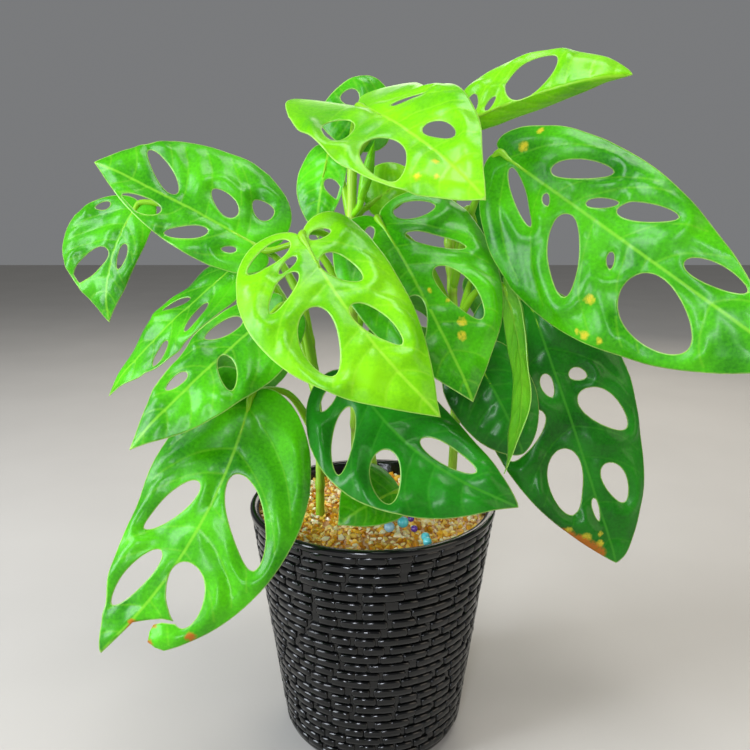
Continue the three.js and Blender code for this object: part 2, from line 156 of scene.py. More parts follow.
# %% Geometry Nodes helpers
def new_tree(name, sizes):
    """A Geometry Nodes tree with one named input for each size. Returns it with its input node."""
    tree = bpy.data.node_groups.new(name, "GeometryNodeTree")
    tree.interface.new_socket("Geometry", in_out="OUTPUT", socket_type="NodeSocketGeometry")
    tree.interface.new_socket("Geometry", in_out="INPUT", socket_type="NodeSocketGeometry")
    for title, value in sizes.items():
        kind = {int: "NodeSocketInt", float: "NodeSocketFloat"}.get(type(value), "NodeSocketMaterial")
        tree.interface.new_socket(title, in_out="INPUT", socket_type=kind)
    return tree, add_node(tree, "NodeGroupInput")


def grow(piece, tree, sizes):
    """Runs the tree on the piece and keeps the result as the piece's own plain mesh."""
    modifier = piece.modifiers.new(tree.name, "NODES")
    modifier.node_group = tree
    for item in tree.interface.items_tree:
        if item.name in sizes:
            modifier[item.identifier] = sizes[item.name]
    bpy.context.view_layer.update()
    evaluated = piece.evaluated_get(bpy.context.evaluated_depsgraph_get())
    mesh = bpy.data.meshes.new_from_object(evaluated)
    piece.modifiers.remove(modifier)
    piece.data = mesh


print("Geometry Nodes helpers ready")

# %% [markdown]
# ## Glossy black pot plastic
#
# The pot is injection-moulded polypropylene in black, with a polished mould. Polypropylene has an
# index of refraction near 1.49, and a polished moulding is nearly a mirror at a flat angle. A very
# fine unevenness from the mould breaks the window's reflection up, so the roughness varies a
# little from place to place, at the scale of a few millimetres.

# %% Pot plastic
pot_plastic, tree, shader = new_material("pot_plastic_black")
place = add_node(tree, "ShaderNodeTexCoord").outputs["Object"]
cloud = add_node(tree, "ShaderNodeTexNoise", {"Vector": place, "Scale": 1 / (9 * MM), "Detail": 3.0})
gloss = add_node(tree, "ShaderNodeMapRange", {"Value": cloud.outputs["Fac"], "To Min": 0.08, "To Max": 0.2})
tone = add_node(tree, "ShaderNodeMix", {
    "Factor_Float": cloud.outputs["Fac"], "A_Color": linear("#020303"), "B_Color": linear("#060707"),
}, data_type="RGBA")
ripple = add_node(tree, "ShaderNodeTexNoise", {"Vector": place, "Scale": 1 / (1.6 * MM), "Detail": 2.0})
bump = add_node(tree, "ShaderNodeBump", {
    "Height": ripple.outputs["Fac"], "Strength": 0.35, "Distance": 0.12 * MM,
})
tree.links.new(tone.outputs[2], shader.inputs["Base Color"])
tree.links.new(gloss.outputs["Result"], shader.inputs["Roughness"])
tree.links.new(bump.outputs["Normal"], shader.inputs["Normal"])
shader.inputs["IOR"].default_value = 1.49
print("pot plastic:", pot_plastic.name)

# %% [markdown]
# ## The pot's wall
#
# The pot is a tapered cup with a rounded base corner and a plain rolled lip. A turned profile is
# the natural way to make it. Behind each ring of bars the wall stands a little forward and between
# two rings it falls back, which is what makes the dark grooves, so the profile itself is scalloped.

# %% Pot wall
POT_HEIGHT = 120
RIM_RADIUS = 60
BASE_RADIUS = 44
WALL = 4.5
RINGS = 24
FIRST_RING = 8.2
RING_PITCH = 4.65
BAR_PROUD = 1.0
BASE_CORNER = 7
BASE_RECESS = 1.2
POT_SIDES = 180


def pot_radius(z):
    """The pot's outer radius at a height."""
    return BASE_RADIUS + (RIM_RADIUS - BASE_RADIUS) * z / POT_HEIGHT


def pot_profile():
    """The wall's section from the middle of the base, up the outside and down the inside."""
    foot = pot_radius(0) - BASE_CORNER
    profile = [(NEAR_AXIS, BASE_RECESS), (foot - 3, BASE_RECESS), (foot - 2, 0)]
    for angle in (0, 22, 45, 67, 90):
        turn = math.radians(angle)
        out = pot_radius(BASE_CORNER) - BAR_PROUD - BASE_CORNER * (1 - math.sin(turn))
        profile.append((out, BASE_CORNER * (1 - math.cos(turn))))
    for step in range(4 * RINGS + 1):
        z = FIRST_RING + RING_PITCH * (step / 4 - 0.25)
        groove = 0.5 - 0.5 * math.cos(2 * math.pi * (step / 4 - 0.25))
        profile.append((pot_radius(z) - BAR_PROUD * (0.95 + 0.45 * groove), z))
    lip = [(0.9, -3.1), (0.25, -2.7), (0, -2.0), (0, -1.0), (0.3, -0.35), (1.1, 0), (2.2, -0.05),
           (3.4, -0.35), (4.2, -1.1), (4.5, -2.2)]
    profile += [(RIM_RADIUS - inward, POT_HEIGHT + z) for inward, z in lip]
    profile += [(pot_radius(z) - WALL, z) for z in (100, 60, 14)]
    return profile + [(pot_radius(6) - WALL - 4, 5.5), (NEAR_AXIS, 5)]


points, faces = turned(pot_profile(), POT_SIDES)
pot_wall = new_piece("pot_wall", points, faces)
set_surface(pot_wall, pot_plastic)
print("pot wall faces:", len(faces))

# %% [markdown]
# ## Rings of raised bars
#
# Seven hundred and twenty short rounded bars circle the pot in rings, like rows of woven willow.
# The bars differ in length and each ring is shifted, so no seam lines up. Geometry Nodes suit this:
# the bars are laid out flat as if the pot were unrolled, one row for each ring, then the sheet is
# rolled round the tapered wall. A fixed seed keeps the layout the same each time.

# %% One bar
BAR_LENGTH = 12.0
BAR_HEIGHT = 4.2
BAR_SECTION = 10
BAR_SHAPE = [(-1, 0.25), (-0.95, 0.75), (-0.8, 1), (0, 1), (0.8, 1), (0.95, 0.75), (1, 0.25)]

bar_points = []
for share, swell in BAR_SHAPE:
    for k in range(BAR_SECTION):
        turn = 2 * math.pi * k / BAR_SECTION
        out = BAR_PROUD * swell * math.cos(turn)
        up = BAR_HEIGHT / 2 * swell * math.sin(turn)
        bar_points.append((share * BAR_LENGTH / 2, out, up))
bar_faces = ring_faces(len(BAR_SHAPE), BAR_SECTION)
pot_bars = new_piece("pot_bars", bar_points, bar_faces)
print("one bar:", len(bar_faces), "faces")

# %% [markdown]
# The bars are laid out flat first. A row of thirty points stands for each ring, every row starts at
# its own random angle, and every bar has its own length. Laying them out flat keeps the random
# shift and the spacing in plain millimetres, which would be awkward on a cone.

# %% Rows of bars, laid out flat
bar_sizes = {
    "Rings": RINGS, "Bars": 30, "Ring Pitch": RING_PITCH * MM, "First Ring": FIRST_RING * MM,
    "Base Radius": (BASE_RADIUS - BAR_PROUD) * MM, "Taper": (RIM_RADIUS - BASE_RADIUS) / POT_HEIGHT,
    "Lump": 0.45 * MM, "Seed": 7, "Surface": pot_plastic,
}
flat_radius = (BASE_RADIUS + RIM_RADIUS) / 2 * MM
tree, size = new_tree("pot bars", bar_sizes)
count = add_node(tree, "ShaderNodeMath", {
    0: size.outputs["Rings"], 1: size.outputs["Bars"]}, operation="MULTIPLY")
spots = add_node(tree, "GeometryNodePoints", {"Count": count.outputs[0]})
index = add_node(tree, "GeometryNodeInputIndex").outputs[0]
ratio = add_node(tree, "ShaderNodeMath", {0: index, 1: size.outputs["Bars"]}, operation="DIVIDE")
ring = add_node(tree, "ShaderNodeMath", {0: ratio.outputs[0]}, operation="FLOOR")
column = add_node(tree, "ShaderNodeMath", {0: ratio.outputs[0]}, operation="FRACT")
ring_shift = add_node(tree, "FunctionNodeRandomValue", {
    "ID": ring.outputs[0], "Seed": size.outputs["Seed"]})
bar_shift = add_node(tree, "FunctionNodeRandomValue", {
    "Min_001": -0.006, "Max_001": 0.006, "ID": index, "Seed": size.outputs["Seed"]})
shifted = add_node(tree, "ShaderNodeMath", {
    0: column.outputs[0], 1: ring_shift.outputs[1]}, operation="ADD")
settled = add_node(tree, "ShaderNodeMath", {
    0: shifted.outputs[0], 1: bar_shift.outputs[1]}, operation="ADD")
around = add_node(tree, "ShaderNodeMath", {0: settled.outputs[0], 1: 2 * math.pi}, operation="MULTIPLY")
height = add_node(tree, "ShaderNodeMath", {
    0: ring.outputs[0], 1: size.outputs["Ring Pitch"], 2: size.outputs["First Ring"],
}, operation="MULTIPLY_ADD")
unrolled = add_node(tree, "ShaderNodeMath", {0: around.outputs[0], 1: flat_radius}, operation="MULTIPLY")
flat_place = add_node(tree, "ShaderNodeCombineXYZ", {"X": unrolled.outputs[0], "Z": height.outputs[0]})
laid = add_node(tree, "GeometryNodeSetPosition", {
    "Geometry": spots.outputs[0], "Position": flat_place.outputs[0]})
bar_scale = add_node(tree, "FunctionNodeRandomValue", {
    "Min": (0.74, 0.85, 0.96), "Max": (1.0, 1.05, 1.08), "ID": index, "Seed": size.outputs["Seed"],
}, data_type="FLOAT_VECTOR")
bars = add_node(tree, "GeometryNodeInstanceOnPoints", {
    "Points": laid.outputs[0], "Instance": size.outputs["Geometry"], "Scale": bar_scale.outputs["Value"]})
real = add_node(tree, "GeometryNodeRealizeInstances", {"Geometry": bars.outputs[0]})
print("bars in rows:", bar_sizes["Rings"] * bar_sizes["Bars"])

# %% [markdown]
# The moulded bars are not clean capsules: each has two or three soft lumps, which is what turns the
# window's reflection into a string of bright beads. A noise about as wide as a lump pushes the
# points in and out before the sheet is rolled up.

# %% Lumps and the roll
flat = add_node(tree, "GeometryNodeInputPosition").outputs[0]
lumps = add_node(tree, "ShaderNodeTexNoise", {"Vector": flat, "Scale": 1 / (3.2 * MM), "Detail": 1.0})
centred = add_node(tree, "ShaderNodeVectorMath", {
    0: lumps.outputs["Color"], 1: (0.5, 0.5, 0.5)}, operation="SUBTRACT")
mostly_out = add_node(tree, "ShaderNodeVectorMath", {
    0: centred.outputs[0], 1: (0.3, 1, 0.35)}, operation="MULTIPLY")
push = add_node(tree, "ShaderNodeVectorMath", {
    0: mostly_out.outputs[0], "Scale": size.outputs["Lump"]}, operation="SCALE")
lumpy = add_node(tree, "GeometryNodeSetPosition", {"Geometry": real.outputs[0], "Offset": push.outputs[0]})
axis = add_node(tree, "ShaderNodeSeparateXYZ", {"Vector": flat})
angle = add_node(tree, "ShaderNodeMath", {0: axis.outputs["X"], 1: -1 / flat_radius}, operation="MULTIPLY")
wall = add_node(tree, "ShaderNodeMath", {
    0: axis.outputs["Z"], 1: size.outputs["Taper"], 2: size.outputs["Base Radius"],
}, operation="MULTIPLY_ADD")
radius = add_node(tree, "ShaderNodeMath", {0: wall.outputs[0], 1: axis.outputs["Y"]}, operation="ADD")
sine = add_node(tree, "ShaderNodeMath", {0: angle.outputs[0]}, operation="SINE")
cosine = add_node(tree, "ShaderNodeMath", {0: angle.outputs[0]}, operation="COSINE")
rolled_x = add_node(tree, "ShaderNodeMath", {
    0: radius.outputs[0], 1: sine.outputs[0]}, operation="MULTIPLY")
rolled_y = add_node(tree, "ShaderNodeMath", {
    0: radius.outputs[0], 1: cosine.outputs[0]}, operation="MULTIPLY")
turned_y = add_node(tree, "ShaderNodeMath", {0: rolled_y.outputs[0], 1: -1.0}, operation="MULTIPLY")
rolled_place = add_node(tree, "ShaderNodeCombineXYZ", {
    "X": rolled_x.outputs[0], "Y": turned_y.outputs[0], "Z": axis.outputs["Z"]})
rolled = add_node(tree, "GeometryNodeSetPosition", {
    "Geometry": lumpy.outputs[0], "Position": rolled_place.outputs[0]})
coloured = add_node(tree, "GeometryNodeSetMaterial", {
    "Geometry": rolled.outputs[0], "Material": size.outputs["Surface"]})
add_node(tree, "NodeGroupOutput", {"Geometry": coloured.outputs[0]})
grow(pot_bars, tree, bar_sizes)
print("pot bars:", len(pot_bars.data.polygons), "faces")

# %% [markdown]
# ## Potting soil
#
# The soil fills the pot under the gravel and is hardly seen, so the CAD body stays and only gets a
# surface. Potting mix is dark peat with bark and coir: rough, matt and crumbly at 1 to 4 mm.

# %% Potting soil
potting_soil, tree, shader = new_material("potting_soil")
place = add_node(tree, "ShaderNodeTexCoord").outputs["Object"]
crumb = add_node(tree, "ShaderNodeTexNoise", {"Vector": place, "Scale": 1 / (3 * MM), "Detail": 4.0})
tone = add_node(tree, "ShaderNodeMix", {
    "Factor_Float": crumb.outputs["Fac"], "A_Color": linear("#1C120A"), "B_Color": linear("#5A4028"),
}, data_type="RGBA")
bump = add_node(tree, "ShaderNodeBump", {
    "Height": crumb.outputs["Fac"], "Strength": 0.9, "Distance": 1.5 * MM})
tree.links.new(tone.outputs[2], shader.inputs["Base Color"])
tree.links.new(bump.outputs["Normal"], shader.inputs["Normal"])
shader.inputs["Roughness"].default_value = 0.95
set_surface(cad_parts["soil"], potting_soil)

# %% [markdown]
# ## Golden gravel
#
# The top dressing is crushed quartz stained gold: angular grains of 2 to 5 mm that let a little
# light in, so their broken faces run from cream through amber to burnt orange. Each grain carries
# its own tone as an attribute, and the surface reads it to choose the grain's colour.

# %% Gravel surface
gravel_quartz, tree, shader = new_material("gravel_golden_quartz")
grain_tone = add_node(tree, "ShaderNodeAttribute", attribute_name="tone")
place = add_node(tree, "ShaderNodeTexCoord").outputs["Object"]
vein = add_node(tree, "ShaderNodeTexNoise", {"Vector": place, "Scale": 1 / (2.2 * MM), "Detail": 3.0})
mixed = add_node(tree, "ShaderNodeMath", {
    0: vein.outputs["Fac"], 1: 0.5, 2: grain_tone.outputs["Fac"]}, operation="MULTIPLY_ADD")
ramp = add_node(tree, "ShaderNodeValToRGB", {"Fac": mixed.outputs[0]})
STONE_TONES = [(0.2, "#B8700C"), (0.38, "#E0A018"), (0.55, "#F6C22E"), (0.75, "#FFDC74"), (0.95, "#FFF4CC")]
for number, (share, colour) in enumerate(STONE_TONES):
    stop = ramp.color_ramp.elements[number] if number < 2 else ramp.color_ramp.elements.new(share)
    stop.position = share
    stop.color = linear(colour)
tree.links.new(ramp.outputs["Color"], shader.inputs["Base Color"])
shader.inputs["Roughness"].default_value = 0.34
shader.inputs["IOR"].default_value = 1.54
shader.inputs["Subsurface Weight"].default_value = 0.25
shader.inputs["Subsurface Radius"].default_value = (1.0, 0.55, 0.2)
shader.inputs["Subsurface Scale"].default_value = 1.2 * MM
print("gravel tones:", len(STONE_TONES))

# %% [markdown]
# One broken grain is the hull of thirteen points thrown on a ball, which gives the flat faces and
# sharp corners of crushed stone in a couple of dozen triangles.

# %% One grain of gravel
GRAIN_CORNERS = 13
GRAIN_RADIUS = 1.75

shape = np.random.default_rng(4).normal(size=(GRAIN_CORNERS, 3))
shape *= GRAIN_RADIUS / np.linalg.norm(shape, axis=1)[:, None]
hull = bmesh.new()
for corner in shape:
    hull.verts.new(corner * MM)
bmesh.ops.convex_hull(hull, input=hull.verts)
bmesh.ops.recalc_face_normals(hull, faces=hull.faces)
gravel = new_piece("gravel", [], [])
hull.to_mesh(gravel.data)
hull.free()
print("one grain:", len(gravel.data.polygons), "faces")

# %% [markdown]
# Geometry Nodes scatter the grain over a disc, no two closer than 2 mm, and turn and stretch each
# one at random, so no two grains look alike. The stems and the beads come up through them.

# %% Scattered gravel
BED_TOP = 112.6
BED_RADIUS = 54.2

gravel_sizes = {
    "Bed Radius": BED_RADIUS * MM, "Bed Top": BED_TOP * MM, "Spacing": 2.0 * MM, "Unevenness": 1.5 * MM,
    "Smallest": 0.55, "Largest": 1.35, "Seed": 11, "Surface": gravel_quartz,
}
tree, size = new_tree("gravel scatter", gravel_sizes)
disc = add_node(tree, "GeometryNodeMeshCircle", {
    "Vertices": 64, "Radius": size.outputs["Bed Radius"]}, fill_type="NGON")
spots = add_node(tree, "GeometryNodeDistributePointsOnFaces", {
    "Mesh": disc.outputs[0], "Distance Min": size.outputs["Spacing"], "Density Max": 6e5,
    "Seed": size.outputs["Seed"]}, distribute_method="POISSON")
index = add_node(tree, "GeometryNodeInputIndex").outputs[0]
rise = add_node(tree, "FunctionNodeRandomValue", {
    "Min_001": -0.5, "Max_001": 0.5, "ID": index, "Seed": size.outputs["Seed"]})
lift = add_node(tree, "ShaderNodeMath", {
    0: rise.outputs[1], 1: size.outputs["Unevenness"], 2: size.outputs["Bed Top"],
}, operation="MULTIPLY_ADD")
offset = add_node(tree, "ShaderNodeCombineXYZ", {"Z": lift.outputs[0]})
raised = add_node(tree, "GeometryNodeSetPosition", {
    "Geometry": spots.outputs[0], "Offset": offset.outputs[0]})
tone = add_node(tree, "FunctionNodeRandomValue", {
    "Min_001": 0.0, "Max_001": 0.78, "ID": index, "Seed": 3})
toned = add_node(tree, "GeometryNodeStoreNamedAttribute", {
    "Geometry": raised.outputs[0], "Name": "tone", "Value": tone.outputs[1]}, data_type="FLOAT")
turn = add_node(tree, "FunctionNodeRandomValue", {
    "Max": (6.28, 6.28, 6.28), "ID": index, "Seed": 5}, data_type="FLOAT_VECTOR")
low = add_node(tree, "ShaderNodeCombineXYZ", {
    "X": size.outputs["Smallest"], "Y": size.outputs["Smallest"], "Z": size.outputs["Smallest"]})
high = add_node(tree, "ShaderNodeCombineXYZ", {
    "X": size.outputs["Largest"], "Y": size.outputs["Largest"], "Z": size.outputs["Largest"]})
stretch = add_node(tree, "FunctionNodeRandomValue", {
    "Min": low.outputs[0], "Max": high.outputs[0], "ID": index, "Seed": 6}, data_type="FLOAT_VECTOR")
grains = add_node(tree, "GeometryNodeInstanceOnPoints", {
    "Points": toned.outputs[0], "Instance": size.outputs["Geometry"], "Rotation": turn.outputs[0],
    "Scale": stretch.outputs[0]})
real = add_node(tree, "GeometryNodeRealizeInstances", {"Geometry": grains.outputs[0]})
coloured = add_node(tree, "GeometryNodeSetMaterial", {
    "Geometry": real.outputs[0], "Material": size.outputs["Surface"]})
add_node(tree, "NodeGroupOutput", {"Geometry": coloured.outputs[0]})
grow(gravel, tree, gravel_sizes)
print("gravel:", len(gravel.data.polygons), "faces")

# %% [markdown]
# Under the loose grains lies a plain bed in the same stone, so no soil shows between them. It is a
# flat turned disc that follows the taper of the pot.

# %% Gravel bed under the grains
BED_BOTTOM = 108.4
BED_SIDES = 64

bed_profile = [
    (NEAR_AXIS, BED_BOTTOM), (BED_RADIUS - 0.5, BED_BOTTOM),
    (BED_RADIUS + 0.4, BED_TOP), (NEAR_AXIS, BED_TOP),
]
points, faces = turned(bed_profile, BED_SIDES)
gravel_base = new_piece("gravel_base", points, faces, smooth=False)
set_surface(gravel_base, gravel_quartz)
print("gravel bed top:", BED_TOP)

# %% [markdown]
# ## Beads on the gravel
#
# Eight small pearl beads lie on the gravel in turquoise, pale blue and purple. They are glass-like
# acrylic, so a clear coat over a soft body colour gives their tight highlights. Each is a ball with
# a small dimple where its thread hole is.

# %% Beads
BEAD_REST = 115
BEAD_SIDES = 32
BEAD_SIZES = {
    "bead_turquoise_large": (14, -23.5, 2.7), "bead_blue": (7.5, -28.5, 2.5),
    "bead_turquoise_back": (23.5, -38, 2.0), "bead_turquoise_front": (24, -43, 2.0),
    "bead_purple_front": (19, -28.5, 1.6), "bead_purple_mid": (18, -17, 1.6),
    "bead_purple_back": (12.5, -13.5, 1.6), "bead_purple_right": (33, -10, 1.6),
}
BEAD_COLOURS = {
    "turquoise": ("#1FA9B8", "#6FE0E4"), "blue": ("#6FA8C8", "#B8E0EE"), "purple": ("#35107A", "#7A3FC4"),
}
bead_acrylic = {}
for tint, (deep, pale) in BEAD_COLOURS.items():
    bead_acrylic[tint], tree, shader = new_material("bead_acrylic_" + tint)
    place = add_node(tree, "ShaderNodeTexCoord").outputs["Object"]
    swirl = add_node(tree, "ShaderNodeTexNoise", {"Vector": place, "Scale": 1 / (2.5 * MM), "Detail": 1.0})
    blend = add_node(tree, "ShaderNodeMix", {
        "Factor_Float": swirl.outputs["Fac"], "A_Color": linear(deep), "B_Color": linear(pale),
    }, data_type="RGBA")
    tree.links.new(blend.outputs[2], shader.inputs["Base Color"])
    shader.inputs["Roughness"].default_value = 0.2
    shader.inputs["Coat Weight"].default_value = 0.8
    shader.inputs["Coat Roughness"].default_value = 0.04

beads = {}
for name, (x, y, radius) in BEAD_SIZES.items():
    profile = [(NEAR_AXIS, 0.12 * radius)]
    for step in range(1, 16):
        turn = math.pi * step / 16
        profile.append((radius * math.sin(turn), radius * (1 - math.cos(turn))))
    profile.append((NEAR_AXIS, 1.88 * radius))
    points, faces = turned([(r, z + BEAD_REST) for r, z in profile], BEAD_SIDES)
    beads[name] = new_piece(name + "_pearl", [(px + x, py + y, pz) for px, py, pz in points], faces)
    set_surface(beads[name], bead_acrylic[name.split("_")[1]])
print("beads:", len(beads))

# %% [markdown]
# ## Curves, stems and tubes
#
# Four stems climb out of the gravel. On this plant a stem is a smooth green cane with a slightly
# swollen ring, a node, about every 3 cm, and every leaf stalk leaves it at such a node. A tube that
# follows a smooth curve, with its radius given point by point, makes both the stems and the stalks.

# %% Stems, curves and tubes
def curve_point(points, share):
    """A point of the centripetal curve through the points, 0 at its start and 1 at its end."""
    last = len(points) - 1
    spot = min(max(share, 0), 1) * last
    number = min(int(spot), last - 1)
    w = spot - number
    p1 = points[number]
    p2 = points[number + 1]
    p0 = points[number - 1] if number else 2 * p1 - p2
    p3 = points[number + 2] if number + 2 <= last else 2 * p2 - p1
    d1 = max(np.linalg.norm(p2 - p1), 1e-9) ** 0.5
    d0 = np.linalg.norm(p1 - p0) ** 0.5 or d1
    d2 = np.linalg.norm(p3 - p2) ** 0.5 or d1
    t1 = ((p1 - p0) / d0 - (p2 - p0) / (d0 + d1) + (p2 - p1) / d1) * d1
    t2 = ((p2 - p1) / d1 - (p3 - p1) / (d1 + d2) + (p3 - p2) / d2) * d1
    return p1 + t1 * w + (3 * (p2 - p1) - 2 * t1 - t2) * w ** 2 + (2 * (p1 - p2) + t1 + t2) * w ** 3


def tube(path, radii, sides):
    """Points and faces of a closed tube along the path, with a radius at each of its points."""
    path = np.asarray(path, float)
    ahead = np.gradient(path, axis=0)
    ahead /= np.linalg.norm(ahead, axis=1)[:, None]
    side = np.cross(ahead[0], (0.3, 0.5, 0.8))
    points = []
    for here, along, radius in zip(path, ahead, radii):
        side = side - along * side.dot(along)
        side /= np.linalg.norm(side)
        up = np.cross(along, side)
        for k in range(sides):
            turn = 2 * math.pi * k / sides
            points.append(here + radius * (math.cos(turn) * side + math.sin(turn) * up))
    return points, ring_faces(len(path), sides)


STEMS = {
    "stem_main": ([[-8, 4, 108.3], [-9, 5, 180], [-10, 7, 250], [-9, 8, 293]], 2.5),
    "stem_left": ([[-26, -4, 108.3], [-26, 0, 150], [-29, 4, 190], [-34, 6, 222]], 2.3),
    "stem_right": ([[38, 3, 108.3], [40, 6, 150], [40, 12, 195], [36, 16, 250]], 2.4),
    "stem_front": ([[2, -14, 108.3], [1, -12, 135], [-3, -10, 160], [-8, -12, 186]], 2.0),
}
stem_paths = {name: [np.array(p, float) for p in path] for name, (path, radius) in STEMS.items()}
print("stems:", list(STEMS))

# %% [markdown]
# ## The leaves, one by one
#
# Every leaf is the same kind of thing with other measures, so a table of measures and one set of
# rules make them all. A row gives the leaf's stem and the height of its stalk there, the two ends
# of the midrib (base, tip), the way its upper side looks (face), and the half widths to the left
# and right. Holes are (side, share of the length, share of the half width, long, wide, turn). rise
# and via shape the stalk. bow and sway arch the midrib, fold drops a half, twist turns the blade,
# full broadens a half towards the tip and sweep slides it along. waves is how high the blade's slow
# waves rise, where that isn't the usual 1.1 mm.

